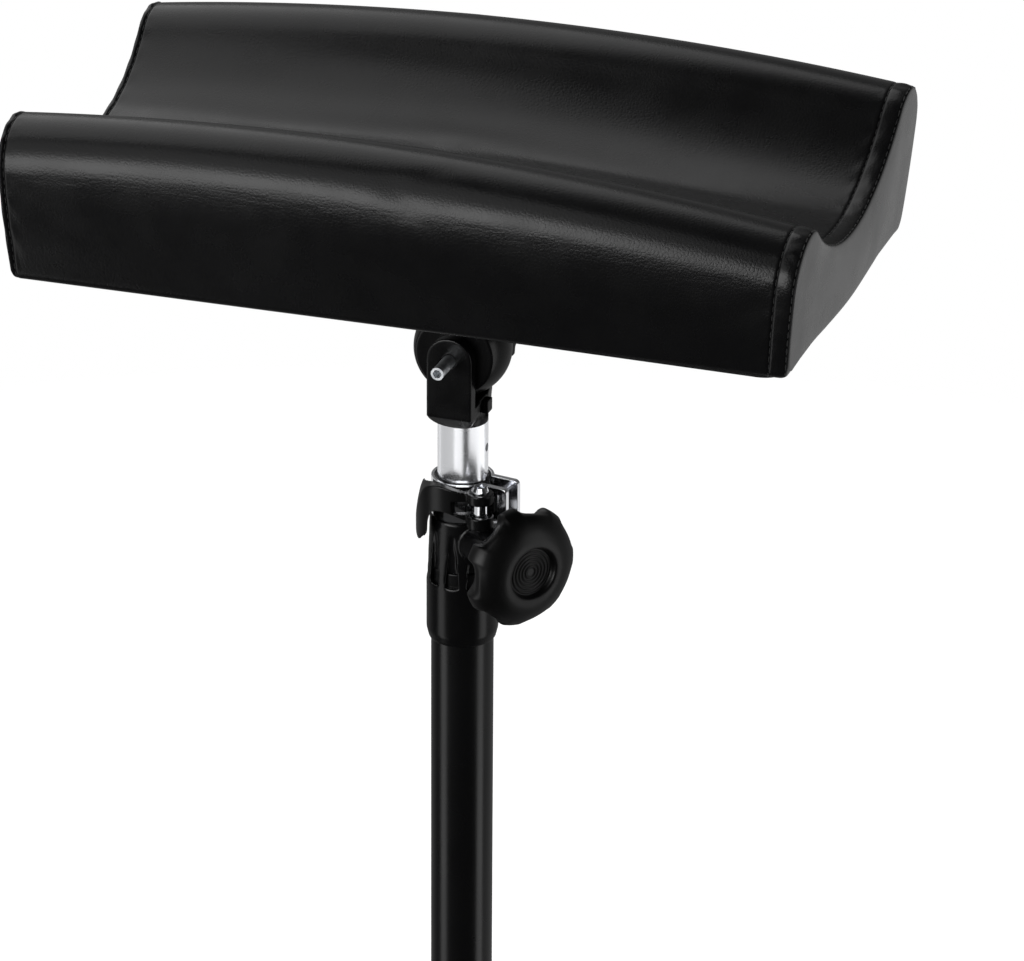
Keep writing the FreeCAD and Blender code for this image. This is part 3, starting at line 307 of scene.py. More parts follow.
def weldedCopy(node):
    # a copy of a CAD node's mesh, as a mesh and a model whose doubles are merged
    mesh = nodes[node].data.copy()
    model = bmesh.new()
    model.from_mesh(mesh)
    bmesh.ops.remove_doubles(model, verts=model.verts, dist=1e-6)
    return mesh, model


def shadeByAngle(model, sharpAngle):
    # smooth faces, with a hard line at each edge sharper than the angle
    for face in model.faces:
        face.smooth = True
    for edge in model.edges:
        edge.smooth = edge.calc_face_angle(0.0) < math.radians(sharpAngle)


def standFor(piece, node, body):
    # the piece rides on a body in place of a CAD node
    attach(piece, body)
    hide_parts(node)
    return piece


def newPiece(name, points, faces, body, material, sharpAngle=40):
    # an object from arrays of points and faces, smooth but for edges sharper than the angle
    mesh = bpy.data.meshes.new(name)
    mesh.from_pydata(np.asarray(points).tolist(), [], np.asarray(faces).tolist())
    model = bmesh.new()
    model.from_mesh(mesh)
    bmesh.ops.remove_doubles(model, verts=model.verts, dist=1e-6)
    bmesh.ops.dissolve_degenerate(model, edges=model.edges, dist=1e-7)
    bmesh.ops.recalc_face_normals(model, faces=model.faces)
    shadeByAngle(model, sharpAngle)
    model.to_mesh(mesh)
    model.free()
    mesh.materials.append(material)
    piece = linkObject(name, mesh)
    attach(piece, body)
    return piece


def quadsOf(index):
    # quads between neighbours of a grid of point numbers
    return np.stack([index[:-1, :-1], index[:-1, 1:], index[1:, 1:], index[1:, :-1]], -1).reshape(-1, 4)


def wrappedFaces(rows, columns):
    # quads of a grid of points whose columns close into rings
    index = np.arange(rows * columns).reshape(rows, columns)
    return quadsOf(np.hstack([index, index[:, :1]]))


def levelFrame(angle):
    # rows are the axes of a frame whose Z points outwards at the angle and whose Y is up
    turn = math.radians(angle)
    out = np.array([math.cos(turn), math.sin(turn), 0.0])
    up = np.array([0.0, 0.0, 1.0])
    return np.stack([np.cross(up, out), up, out])


def roundCorners(points, radius, steps=5):
    # each inner corner of an outline becomes a short parabola that starts a radius away from it
    points = np.asarray(points, float)
    outline = [points[:1]]
    t = np.linspace(0, 1, steps)[:, None]
    for before, corner, after in zip(points[:-2], points[1:-1], points[2:]):
        inReach = min(radius, 0.45 * np.linalg.norm(corner - before))
        outReach = min(radius, 0.45 * np.linalg.norm(after - corner))
        start = corner + (before - corner) / np.linalg.norm(before - corner) * inReach
        end = corner + (after - corner) / np.linalg.norm(after - corner) * outReach
        outline.append((1 - t) ** 2 * start + 2 * t * (1 - t) * corner + t ** 2 * end)
    outline.append(points[-1:])
    return np.vstack(outline)


def turnedGrid(profile, columns, reach=None):
    # an outline of radius and height turned about Z; reach scales the radius by row and angle
    angle = np.linspace(0, 2 * math.pi, columns, endpoint=False)
    radius = profile[:, :1] * (np.ones((1, columns)) if reach is None else reach(angle))
    height = np.repeat(profile[:, 1:2], columns, 1)
    return np.stack([radius * np.cos(angle), radius * np.sin(angle), height], -1)


def turnedPiece(name, settings, axes, origin, body, material):
    # a turned outline in millimetres, set along the third of its axes
    profile = roundCorners(settings["outline"], settings["edge"])
    grid = turnedGrid(profile, settings["columns"])
    points = grid.reshape(-1, 3) * mm @ axes + np.asarray(origin)
    faces = wrappedFaces(*grid.shape[:2])
    return newPiece(name, points, faces, body, material)


def roundedCopy(node, name, settings, body, material):
    # the CAD solid's form with its edges moulded round: voxels over it, then a light smoothing
    mesh, model = weldedCopy(node)
    model.to_mesh(mesh)
    model.free()
    rough = linkObject(name + "Rough", mesh)
    remesh = rough.modifiers.new("voxels", "REMESH")
    remesh.mode = "VOXEL"
    remesh.voxel_size = settings["voxel"] * mm
    smooth = rough.modifiers.new("soften", "SMOOTH")
    smooth.factor = 0.5
    smooth.iterations = settings["soften"]
    graph = bpy.context.evaluated_depsgraph_get()
    made = bpy.data.meshes.new_from_object(rough.evaluated_get(graph))
    bpy.data.objects.remove(rough)
    made.polygons.foreach_set("use_smooth", np.ones(len(made.polygons), bool))
    made.materials.clear()
    made.materials.append(material)
    return standFor(linkObject(name, made), node, body)


def bevelledCopy(node, name, settings, body, material):
    # the CAD solid's form with narrow round edges: flat faces stay flat, so a mirror finish reads clean
    mesh, model = weldedCopy(node)
    bmesh.ops.dissolve_limit(model, angle_limit=math.radians(1), verts=model.verts, edges=model.edges)
    sharp = [edge for edge in model.edges
             if edge.calc_face_angle(0.0) > math.radians(settings["sharp"])]
    bmesh.ops.bevel(model, geom=sharp, offset=settings["width"] * mm, segments=settings["segments"],
                    affect="EDGES", profile=0.5, clamp_overlap=True)
    bmesh.ops.remove_doubles(model, verts=model.verts, dist=1e-6)
    bmesh.ops.recalc_face_normals(model, faces=model.faces)
    shadeByAngle(model, settings["sharp"])
    model.to_mesh(mesh)
    model.free()
    mesh.materials.clear()
    mesh.materials.append(material)
    piece = linkObject(name, mesh)
    level = piece.modifiers.new("level", "WEIGHTED_NORMAL")
    level.keep_sharp = True
    return standFor(piece, node, body)


# The pad

padForm = {
    "length": 380.0, "width": 204.0, "footInset": 4.0, "endLean": (3.6, 6.0), "wallBow": 1.2,
    "frontCrest": 65.0, "backCrest": 72.0, "trough": 37.5, "arch": 11.0, "troughArch": 7.0,
    "crestRound": 22.0, "troughOffset": -3.0, "corner": 5.0, "slack": 0.9,
    # how much fuller the foam is at the left end, in the middle and at the right end
    "frontLift": (7.6, 0.0, 0.4), "backLift": (1.2, 0.9, 5.2),
    # how far the rolled lower edge hangs below the board, at the left and at the right end
    "hem": (4.0, 0.6), "hemWide": 12.0, "hemEdge": 6.0, "hemHigh": 14.0,
    "endPuff": 1.4,  # bulge of the end panels
}
padSeam = {
    "edge": 1.5, "inner": (3.2, 9.0), "rim": 0.8, "grooveWide": 0.55, "grooveDeep": 0.5, "puff": 0.3,
    "pucker": 0.26, "puckerPitch": 5.5, "crestFold": 0.9, "cornerRise": 2.6, "cornerReach": 5.0,
}
padCounts = {"foot": 5, "wall": 11, "crest": 16, "trough": 20}
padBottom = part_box("pad_cover")[0].z


def arcRow(centreY, centreZ, radius, start, end, count):
    # points of an arc, one row for each station; angles in radians
    t = np.linspace(0, 1, count, endpoint=False)
    angle = start[:, None] + (end - start)[:, None] * t
    return np.stack([centreY[:, None] + radius[:, None] * np.cos(angle),
                     centreZ[:, None] + radius[:, None] * np.sin(angle)], -1)


def lineRow(startY, startZ, endY, endZ, bow, count):
    # a line with a bow, one row for each station
    t = np.linspace(0, 1, count, endpoint=False)
    y = startY[:, None] * (1 - t) + endY[:, None] * t + bow * 4 * t * (1 - t)
    z = startZ[:, None] * (1 - t) + endZ[:, None] * t
    return np.stack([y, z], -1)


def padSide(sign, share, inset, floor):
    # one half of the loop: foot, wall, crest and trough, each touching the next
    form = padForm
    rise = 1 - (2 * share) ** 2
    ones = np.ones_like(rise)
    name = "front" if sign < 0 else "back"
    left, middle, right = form[name + "Lift"]
    lift = left * (0.5 - share) + middle * rise + right * (0.5 + share)
    crest = form[name + "Crest"] + form["arch"] * rise + lift - inset
    trough = form["trough"] + form["troughArch"] * rise - inset
    radius = form["crestRound"] - inset
    wall = form["width"] / 2 - inset
    foot = wall - form["footInset"]
    centreY, centreZ = wall - radius, crest - radius
    reach = np.abs(sign * centreY - form["troughOffset"])
    drop = centreZ - trough
    span = (reach ** 2 + drop ** 2 - radius ** 2) / (2 * (radius + drop))
    lean = np.arctan2(trough + span - centreZ, reach)
    corner = form["corner"] * ones
    rows = {
        "foot": arcRow(foot - corner, floor + corner, corner, -math.pi / 2 * ones, 0 * ones,
                       padCounts["foot"]),
        "wall": lineRow(foot, floor + corner, wall, centreZ, form["wallBow"], padCounts["wall"]),
        "crest": arcRow(centreY, centreZ, radius, 0 * ones, math.pi - lean, padCounts["crest"]),
        "trough": arcRow(sign * form["troughOffset"] * ones, trough + span, span, -lean,
                         -math.pi / 2 * ones, padCounts["trough"]),
    }
    for row in rows.values():
        row[..., 0] *= sign
    return rows


def padLoop(share, inset):
    # the pad's closed outline at each share of its length: bottom, back wall, top, front wall
    rise = 1 - (2 * share) ** 2
    front, back = padSide(-1, share, inset, inset), padSide(1, share, inset, inset)
    topCount = 2 * (padCounts["crest"] + padCounts["trough"])
    starts = front["foot"][:, 0], back["foot"][:, 0]
    bottom = lineRow(starts[0][:, 0], inset, starts[1][:, 0], inset, 0.0, topCount)
    middle = np.stack([np.full_like(share, padForm["troughOffset"]),
                       padForm["trough"] + padForm["troughArch"] * rise - inset], -1)[:, None]
    wallFront = np.concatenate([front["foot"], front["wall"], front["crest"][:, :1]], 1)[:, ::-1]
    topFront = np.concatenate([front["crest"], front["trough"]], 1)[:, :0:-1]
    loop = np.concatenate([bottom, back["foot"], back["wall"], back["crest"], back["trough"], middle,
                           topFront, wallFront[:, :-1]], 1)
    along = share * (padForm["length"] - 2 * padForm["slack"])
    lean = np.where(share < 0, *padForm["endLean"]) * 2 * share
    x = along[:, None] - lean[:, None] * (1 - loop[..., 1] / padForm["backCrest"])
    return np.concatenate([x[..., None], loop], -1)


def padStations():
    # shares of the length, the distance of each from its end, and the place of its seam
    half = padForm["length"] / 2
    runs = []
    for inner in padSeam["inner"]:
        away = [0.0]
        while away[-1] < half:
            nearest = min(abs(away[-1] - padSeam["rim"]), abs(away[-1] - inner))
            away.append(away[-1] + min(6.0, 0.35 + 0.3 * nearest))
        runs.append(np.array(away) * half / away[-1])
    left, right = runs[0], runs[1][-2::-1]
    share = np.concatenate([left - half, half - right]) / padForm["length"]
    away = np.concatenate([left, right])
    return share, away, np.where(np.arange(len(away)) < len(left), *padSeam["inner"])


def endPatch(loop, topCount, wallCount):
    # a panel between the four sides of an end's outline: two ruled surfaces less their corners
    closed = np.vstack([loop, loop[:1]])
    cuts = np.cumsum([0, topCount, wallCount, topCount, wallCount])
    bottom, right = closed[cuts[0]:cuts[1] + 1], closed[cuts[1]:cuts[2] + 1]
    top, left = closed[cuts[2]:cuts[3] + 1][::-1], closed[cuts[3]:cuts[4] + 1][::-1]
    u = np.linspace(0, 1, topCount + 1)[None, :, None]
    v = np.linspace(0, 1, wallCount + 1)[:, None, None]
    corners = ((1 - u) * (1 - v) * bottom[0] + u * (1 - v) * bottom[-1]
               + (1 - u) * v * top[0] + u * v * top[-1])
    patch = (1 - v) * bottom[None] + v * top[None] + (1 - u) * left[:, None] + u * right[:, None] - corners
    puff = np.sign(loop[0, 0]) * padForm["endPuff"]
    patch[..., 0] += puff * (np.sin(math.pi * u) * np.sin(math.pi * v))[..., 0]
    return patch


def padArrays():
    # points and faces of the closed pad: the wrapped cover and its two end panels
    share, away, seamAt = padStations()
    edge = padSeam["edge"]
    inset = padForm["slack"] + edge - np.sqrt(edge ** 2 - np.clip(edge - away, 0, edge) ** 2)
    loops = padLoop(share, inset)
    rows, columns = loops.shape[:2]
    topCount = 2 * (padCounts["crest"] + padCounts["trough"])
    wallCount = padCounts["foot"] + padCounts["wall"]
    points, faces = [loops.reshape(-1, 3)], [wrappedFaces(rows, columns)]
    used = rows * columns
    for row in (0, rows - 1):
        patch = endPatch(loops[row], topCount, wallCount)
        index = np.full(patch.shape[:2], -1)
        ring = np.append(np.arange(columns), 0) + row * columns
        cuts = np.cumsum([0, topCount, wallCount, topCount, wallCount])
        index[0, :] = ring[cuts[0]:cuts[1] + 1]
        index[:, -1] = ring[cuts[1]:cuts[2] + 1]
        index[-1, :] = ring[cuts[2]:cuts[3] + 1][::-1]
        index[:, 0] = ring[cuts[3]:cuts[4] + 1][::-1]
        inner = patch[1:-1, 1:-1]
        index[1:-1, 1:-1] = used + np.arange(inner.shape[0] * inner.shape[1]).reshape(inner.shape[:2])
        used += inner.shape[0] * inner.shape[1]
        points.append(inner.reshape(-1, 3))
        faces.append(quadsOf(index))
    points = np.vstack(points) * mm + np.array([0, 0, padBottom])
    return points, np.vstack(faces), (rows, columns), away, seamAt


def meshNormals(points, faces):
    # mean of the normals of the faces round each point
    quad = points[faces]
    normal = np.cross(quad[:, 2] - quad[:, 0], quad[:, 3] - quad[:, 1])
    total = np.zeros_like(points)
    for corner in range(4):
        np.add.at(total, faces[:, corner], normal)
    return total / np.maximum(np.linalg.norm(total, axis=1, keepdims=True), 1e-12)


def inflate(points, faces, held):
    # foam pushes the sewn cover out: cloth under pressure, held at its seams and foot, its movement capped
    press = {"pressure": 4.0, "frames": 20, "cap": 5.0 * mm, "share": 0.55}
    mesh = bpy.data.meshes.new("coverTrial")
    mesh.from_pydata(points.tolist(), [], faces.tolist())
    trial = linkObject("coverTrial", mesh)
    group = trial.vertex_groups.new(name="held")
    for level in np.unique(held):
        if level > 0:
            group.add(np.flatnonzero(held == level).tolist(), float(level), "REPLACE")
    cloth = trial.modifiers.new("cover", "CLOTH")
    cloth.settings.vertex_group_mass = "held"
    cloth.settings.mass = 0.4
    cloth.settings.tension_stiffness = 40
    cloth.settings.compression_stiffness = 40
    cloth.settings.shear_stiffness = 20
    cloth.settings.bending_stiffness = 2.0
    cloth.settings.use_pressure = True
    cloth.settings.uniform_pressure_force = press["pressure"]
    cloth.settings.effector_weights.gravity = 0
    cloth.collision_settings.use_collision = False
    scene = bpy.context.scene
    for number in range(1, press["frames"] + 1):
        scene.frame_set(number)
    graph = bpy.context.evaluated_depsgraph_get()
    result = trial.evaluated_get(graph).to_mesh()
    moved = np.zeros(len(points) * 3, np.float32)
    result.vertices.foreach_get("co", moved)
    step = moved.reshape(-1, 3) - points
    trial.evaluated_get(graph).to_mesh_clear()
    bpy.data.objects.remove(trial)
    scene.frame_set(1)
    size = np.linalg.norm(step, axis=1, keepdims=True)
    capped = step * (press["cap"] * np.tanh(size / press["cap"]) / np.maximum(size, 1e-9))
    print("stage: cover pressed out by up to", round(float(size.max()) / mm, 2), "mm")
    return points + capped * press["share"]


def makePad():
    points, faces, shape, away, seamAt = padArrays()
    rows, columns = shape
    topCount = 2 * (padCounts["crest"] + padCounts["trough"])
    side = padCounts["foot"] + padCounts["wall"]
    loopCount = rows * columns
    column = np.tile(np.arange(columns), rows)
    row = np.repeat(np.arange(rows), columns)
    fromEnd, inner = away[row], seamAt[row]
    onBottom = column < topCount
    held = np.zeros(len(points))
    onFoot = np.minimum(column - topCount, columns - 1 - column) < padCounts["foot"]
    held[:loopCount] = np.where(onBottom | (fromEnd < 1.0), 1.0,
                                np.where(onFoot, 1.0, np.where(np.abs(fromEnd - inner) < 0.6, 0.7, 0.0)))
    held[loopCount:] = 0.8
    points = inflate(points, faces, held)
    normals = meshNormals(points, faces)
    loops = points[:loopCount].reshape(rows, columns, 3)
    lengths = np.linalg.norm(np.diff(loops, axis=1, append=loops[:, :1]), axis=2) / mm
    around = (np.cumsum(lengths, 1) - lengths).ravel()
    seam = padSeam

    def groove(at, wide):
        return np.exp(-((fromEnd - at) / wide) ** 2)

    onCover = np.where(onBottom, 0.0, np.clip((points[:loopCount, 2] - padBottom) / (7 * mm), 0, 1))
    onRight = row > rows // 2
    rim = groove(seam["rim"], 0.5) * onRight
    relief = -seam["grooveDeep"] * (groove(inner, seam["grooveWide"]) + 0.6 * rim)
    relief += seam["puff"] * np.sin(math.pi * np.clip(fromEnd / inner, 0, 1)) ** 2
    ripple = np.sin(2 * math.pi * around / seam["puckerPitch"] + 1.3 * np.sin(around / 17.0))
    gathered = groove(inner - 2.0, 2.0) + groove(inner + 2.0, 2.0) + groove(2.2, 1.2)
    relief += seam["pucker"] * ripple * gathered
    crestMid = [topCount + side + padCounts["crest"] * 0.5, columns - side - padCounts["crest"] * 0.5]
    nearCrest = sum(np.exp(-((column - middle) / 5.0) ** 2) for middle in crestMid)
    fold = np.sin(2 * math.pi * around / 9.0 + 0.8) * groove(inner / 2, 0.3 * inner)
    relief += seam["crestFold"] * nearCrest * fold
    points[:loopCount] += normals[:loopCount] * (relief * onCover * mm)[:, None]
    edgeGap = np.minimum(padForm["width"] / 2 - np.abs(points[:, 1]) / mm,
                         padForm["length"] / 2 - np.abs(points[:, 0]) / mm)
    height = (points[:, 2] - padBottom) / mm
    under = np.concatenate([onBottom, np.zeros(len(points) - loopCount, bool)])
    below = np.clip(1 - (edgeGap - padForm["hemEdge"]) / padForm["hemWide"], 0, 1)
    hem = np.where(under, below, np.clip(1 - height / padForm["hemHigh"], 0, 1))
    hem = hem * hem * (3 - 2 * hem)
    sides = np.interp(points[:, 0] / mm, [-padForm["length"] / 2, padForm["length"] / 2], padForm["hem"])
    points[:, 2] -= hem * sides * mm
    nearEnd = np.clip(1 - fromEnd / seam["cornerReach"], 0, 1)
    points[:loopCount, 2] += seam["cornerRise"] * (1 - np.sqrt(1 - nearEnd ** 2)) * hem[:loopCount] * mm
    cloth = [v / mm for v in (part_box("pad_cloth")[1].x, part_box("pad_cloth")[1].y)]
    flat = np.abs(points[:loopCount]) / mm
    inside = np.clip(np.minimum(cloth[0] + 2 - flat[:, 0], cloth[1] + 2 - flat[:, 1]) / 4, 0, 1)
    points[:loopCount, 2] += np.where(onBottom, 1.2 * inside * mm, 0)
    cover = newPiece("padCover", points, faces, "pad", materials["leather"], 60)
    # painted shade for the stitched lines and the right end's rim line, which the leather reads as a lower
    # specular level
    shade = np.clip(groove(inner, 0.45) + rim, 0, 1) * onCover
    addCreases(cover, points[:loopCount], shade)
    smoother = cover.modifiers.new("soft", "SUBSURF")
    smoother.levels = 1
    smoother.render_levels = 1
    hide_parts("pad_cover", "pad_foam")
    loops, normals = (array[:loopCount].reshape(rows, columns, 3) for array in (points, normals))
    return loops, normals, away, seamAt


def addCreases(cover, places, shade):
    # how creased the leather is: most along the front's bulge, a little near the ends;
    # and the painted shade of the stitched lines, drawn as a lower specular level there
    bulge = {"wall": 101.0, "wallWide": 9.0, "down": 24.0, "downWide": 7.0, "end": 172.0, "endWide": 12.0}
    points = np.zeros(len(cover.data.vertices) * 3, np.float32)
    cover.data.vertices.foreach_get("co", points)
    points = points.reshape(-1, 3) / mm
    height = points[:, 2] - padBottom / mm
    share = points[:, 0] / padForm["length"]
    left, middle, right = padForm["frontLift"]
    crest = (padForm["frontCrest"] + padForm["arch"] * (1 - (2 * share) ** 2)
             + left * (0.5 - share) + right * (0.5 + share))
    onWall = np.exp(-((points[:, 1] + bulge["wall"]) / bulge["wallWide"]) ** 2)
    front = onWall * np.exp(-((crest - height - bulge["down"]) / bulge["downWide"]) ** 2)
    ends = np.exp(-((np.abs(points[:, 0]) - bulge["end"]) / bulge["endWide"]) ** 2)
    amount = np.clip(0.015 + 0.5 * front + 0.08 * ends, 0, 1)
    layer = cover.data.attributes.new("creaseAmount", "FLOAT", "POINT")
    layer.data.foreach_set("value", amount.astype(np.float32))
    tree = KDTree(len(places))
    for index, place in enumerate(places.tolist()):
        tree.insert(place, index)
    tree.balance()
    nearest = [tree.find(point) for point in (points * mm).tolist()]
    layer = cover.data.attributes.new("seamShade", "FLOAT", "POINT")
    layer.data.foreach_set("value", [shade[index] if gap < 1e-4 else 0.0 for place, index, gap in nearest])


def makeStitches(name, line, normals, settings):
    # short thread loops laid end to end along a line, each sunk at its ends
    step = np.linalg.norm(np.diff(line, axis=0), axis=1)
    run = np.concatenate([[0], np.cumsum(step)])
    count = int(run[-1] / (settings["pitch"] * mm))
    middle = (np.arange(count) + 0.5) * settings["pitch"] * mm
    place = np.stack([np.interp(middle, run, line[:, i]) for i in range(3)], -1)
    normal = np.stack([np.interp(middle, run, normals[:, i]) for i in range(3)], -1)
    normal /= np.linalg.norm(normal, axis=1, keepdims=True)
    ahead = np.stack([np.interp(middle + 0.5 * mm, run, line[:, i]) for i in range(3)], -1) - place
    ahead -= normal * np.sum(ahead * normal, 1, keepdims=True)
    ahead /= np.linalg.norm(ahead, axis=1, keepdims=True)
    across = np.cross(normal, ahead)
    t = np.linspace(-1, 1, 7)
    angle = np.linspace(0, 2 * math.pi, 6, endpoint=False)
    thick = settings["thick"] / 2 * mm * np.sqrt(np.clip(1.02 - t ** 2, 0, 1)) ** 0.5
    along = np.repeat(t[:, None] * settings["length"] / 2 * mm, 6, 1)
    lift = (settings["lift"] * mm * (1 - t ** 2))[:, None] + thick[:, None] * np.sin(angle)
    wide = thick[:, None] * np.cos(angle)
    local = np.stack([along, wide, lift], -1).reshape(-1, 3)
    points = (place[:, None] + ahead[:, None] * local[None, :, :1] + across[:, None] * local[None, :, 1:2]
              + normal[:, None] * local[None, :, 2:])
    faces = wrappedFaces(7, 6)
    ends = np.array([[0, 1, 2, 3], [0, 3, 4, 5], [36, 37, 38, 39], [36, 39, 40, 41]])
    one = np.vstack([faces, ends])
    every = (one[None] + (np.arange(count) * local.shape[0])[:, None, None]).reshape(-1, 4)
    return newPiece(name, points.reshape(-1, 3), every, "pad", materials["thread"], 60)


def sewPad(loops, normals, away, seamAt):
    # stitches in the line beside each end panel, and at the edge of the right one
    stitch = {"pitch": 4.2, "length": 3.2, "thick": 0.5, "lift": 0.05}
    topCount = 2 * (padCounts["crest"] + padCounts["trough"])
    middle = len(away) // 2
    fromSeam, fromRim = np.abs(away - seamAt), np.abs(away - padSeam["rim"])
    rows = {
        "topStitchLeft": np.argmin(fromSeam[:middle]),
        "topStitchRight": middle + np.argmin(fromSeam[middle:]),
        "edgeStitchRight": middle + np.argmin(fromRim[middle:]),
    }
    for name, row in rows.items():
        makeStitches(name, loops[row, topCount:], normals[row, topCount:], stitch)


def makeStaples():
    # wire staples that hold the dust cloth, round its edge
    staple = {"crown": 10.0, "thick": 0.6, "wide": 1.1, "pitch": 34.0, "inset": 5.0, "sink": 0.7,
              "cornerX": 12.0, "cornerY": 14.0}
    low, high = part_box("pad_cloth")
    halfX, halfY = high.x / mm - staple["inset"], high.y / mm - staple["inset"]
    countX, countY = int(2 * halfX / staple["pitch"]), int(2 * halfY / staple["pitch"])
    lastX, lastY = halfX - staple["cornerX"], halfY - staple["cornerY"]
    alongX, alongY = np.linspace(-lastX, lastX, countX), np.linspace(-lastY, lastY, countY)
    places = [(x, y, 0) for y in (-halfY, halfY) for x in alongX]
    places += [(x, y, 1) for x in (-halfX, halfX) for y in alongY]
    places = np.array(places)
    t = np.linspace(-1, 1, 9)
    angle = np.linspace(0, 2 * math.pi, 8, endpoint=False)
    run = np.repeat(t[:, None] * staple["crown"] / 2, 8, 1)
    sink = (staple["sink"] * np.clip(np.abs(t) - 0.8, 0, 1) / 0.2)[:, None]
    shape = np.stack([run, staple["wide"] / 2 * np.cos(angle) + 0 * run,
                      -staple["thick"] / 2 * np.sin(angle) + sink + 0 * run], -1).reshape(-1, 3)
    turned = shape[:, [1, 0, 2]]
    pick = np.where(places[:, 2, None, None] > 0, turned[None], shape[None])
    base = np.column_stack([places[:, :2], np.full(len(places), low.z / mm - 0.1)])
    points = (base[:, None] + pick).reshape(-1, 3) * mm
    one = np.vstack([wrappedFaces(9, 8), [[0, 1, 2, 3], [0, 3, 4, 7], [4, 5, 6, 7],
                                              [64, 65, 66, 67], [64, 67, 68, 71], [68, 69, 70, 71]]])
    faces = (one[None] + (np.arange(len(places)) * len(shape))[:, None, None]).reshape(-1, 4)
    return newPiece("clothStaples", points, faces, "pad", materials["zinc"], 60)


sewPad(*makePad())
makeStaples()
print("stage: pad")


# Star knobs

def starReach(knob, fade):
    # how far the outline reaches at each row and angle: scallops cut by circles, softened at the lobes
    def reach(angle):
        pitch = 2 * math.pi / knob["lobes"]
        offset = np.mod(angle - math.radians(knob["turn"]), pitch) - pitch / 2
        centre = knob["radius"] + knob["scallop"] - knob["depth"]
        under = knob["scallop"] ** 2 - (centre * np.sin(offset)) ** 2
        cut = centre * np.cos(offset) - np.sqrt(np.clip(under, 0, None))
        cut = np.where(under > 0, cut, 2 * knob["radius"])
        blend = np.clip(0.5 + 0.5 * (knob["radius"] - cut) / knob["soft"], 0, 1)
        edge = knob["radius"] * (1 - blend) + cut * blend - knob["soft"] * blend * (1 - blend)
        dip = 1 - edge / knob["radius"]
        return 1 - fade[:, None] * dip[None]
    return reach


def makeStarKnob(name, knob, axes, origin, body, slotName, material, *replaced):
    # outline rows are radius, height and how much of the scallops they show
    outline = np.asarray(knob["outline"], float)
    profile = roundCorners(outline[:, :2], knob["edge"], 6)
    position = np.concatenate([[0], np.cumsum(np.linalg.norm(np.diff(outline[:, :2], axis=0), axis=1))])
    run = np.concatenate([[0], np.cumsum(np.linalg.norm(np.diff(profile, axis=0), axis=1))])
    fade = np.interp(run / run[-1], position / position[-1], outline[:, 2])
    dense = np.linspace(0, run[-1], knob["rows"])
    profile = np.stack([np.interp(dense, run, profile[:, i]) for i in range(2)], -1)
    fade = np.interp(dense, run, fade)
    profile[0, 0] = profile[-1, 0] = 0
    grid = turnedGrid(profile, knob["columns"], starReach(knob, fade))
    points = grid.reshape(-1, 3) * mm @ axes + np.asarray(origin)
    piece = newPiece(name, points, wrappedFaces(*grid.shape[:2]), body, material, 50)
    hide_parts(*replaced)


def ringedRecess(radius, face, depth, rings, ringDepth):
    # rows from the recess's rim to its middle, with raised rings on the floor
    rows = [(radius + 1.4, face, 0), (radius + 0.3, face - 0.5, 0), (radius - 0.5, face - depth, 0)]
    spacing = (radius - 3.0) / rings
    for number in range(rings):
        outer = radius - 1.4 - number * spacing
        floor = face - depth
        rows += [(outer, floor, 0), (outer - spacing * 0.2, floor + ringDepth, 0),
                 (outer - spacing * 0.5, floor + ringDepth, 0), (outer - spacing * 0.7, floor, 0)]
    return rows + [(0, face - depth, 0)]


lockAxis = next(joint for joint in frame["joints"] if joint["name"] == "lock_knob_turn")["axis"]
lockAngle = math.degrees(math.atan2(lockAxis[1], lockAxis[0]))
lockLow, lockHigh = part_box("lock_stud")
lockHeight = (lockLow.z + lockHigh.z) / 2
lockKnob = {
    "radius": 29.5, "scallop": 10.5, "depth": 6.4, "soft": 2.4, "lobes": 7, "turn": -1.0, "edge": 2.2,
    "rows": 260, "columns": 308, "back": 30.0,
    "outline": [
        (0, 0, 0), (12.5, 0, 0), (13.0, 5.0, 0), (15.5, 8.2, 0.3), (24.0, 9.0, 0.9), (28.2, 10.2, 1.0),
        (29.5, 13.0, 0.8), (29.4, 17.0, 0.4), (27.8, 20.5, 0.14), (24.8, 23.4, 0.04), (20.6, 25.8, 0.0),
        (16.6, 27.0, 0.0),
    ] + ringedRecess(12.2, 27.0, 3.0, 5, 0.45),
}
lockFrame = levelFrame(lockAngle)
lockBack = lockFrame[2] * lockKnob["back"] * mm + [0, 0, lockHeight]
makeStarKnob("lockKnob", lockKnob, lockFrame, lockBack, "lock_knob", "black_plastic", materials["satinNylon"],
             "lock_knob", "lock_knob_cap")

tiltLow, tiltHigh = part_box("tilt_knob")
tiltKnob = {
    "radius": 21.0, "scallop": 8.5, "depth": 3.8, "soft": 1.8, "lobes": 6, "turn": 0.0, "edge": 1.5,
    "rows": 150, "columns": 216,
    "outline": [
        (0, 0, 0), (9.5, 0, 0), (9.7, 5.0, 0), (12.0, 7.2, 0.3), (19.6, 8.2, 1.0), (21.0, 10.0, 1.0),
        (20.8, 13.4, 0.8), (18.0, 15.6, 0.3), (12.0, 16.8, 0.0), (7.2, 17.0, 0.0), (6.2, 15.8, 0.0),
        (0, 15.8, 0),
    ],
}
tiltBack = (0, tiltLow.y, (tiltLow.z + tiltHigh.z) / 2)
makeStarKnob("tiltKnob", tiltKnob, levelFrame(90), tiltBack, "tilt_knob", "black_plastic",
             materials["satinNylon"], "tilt_knob")

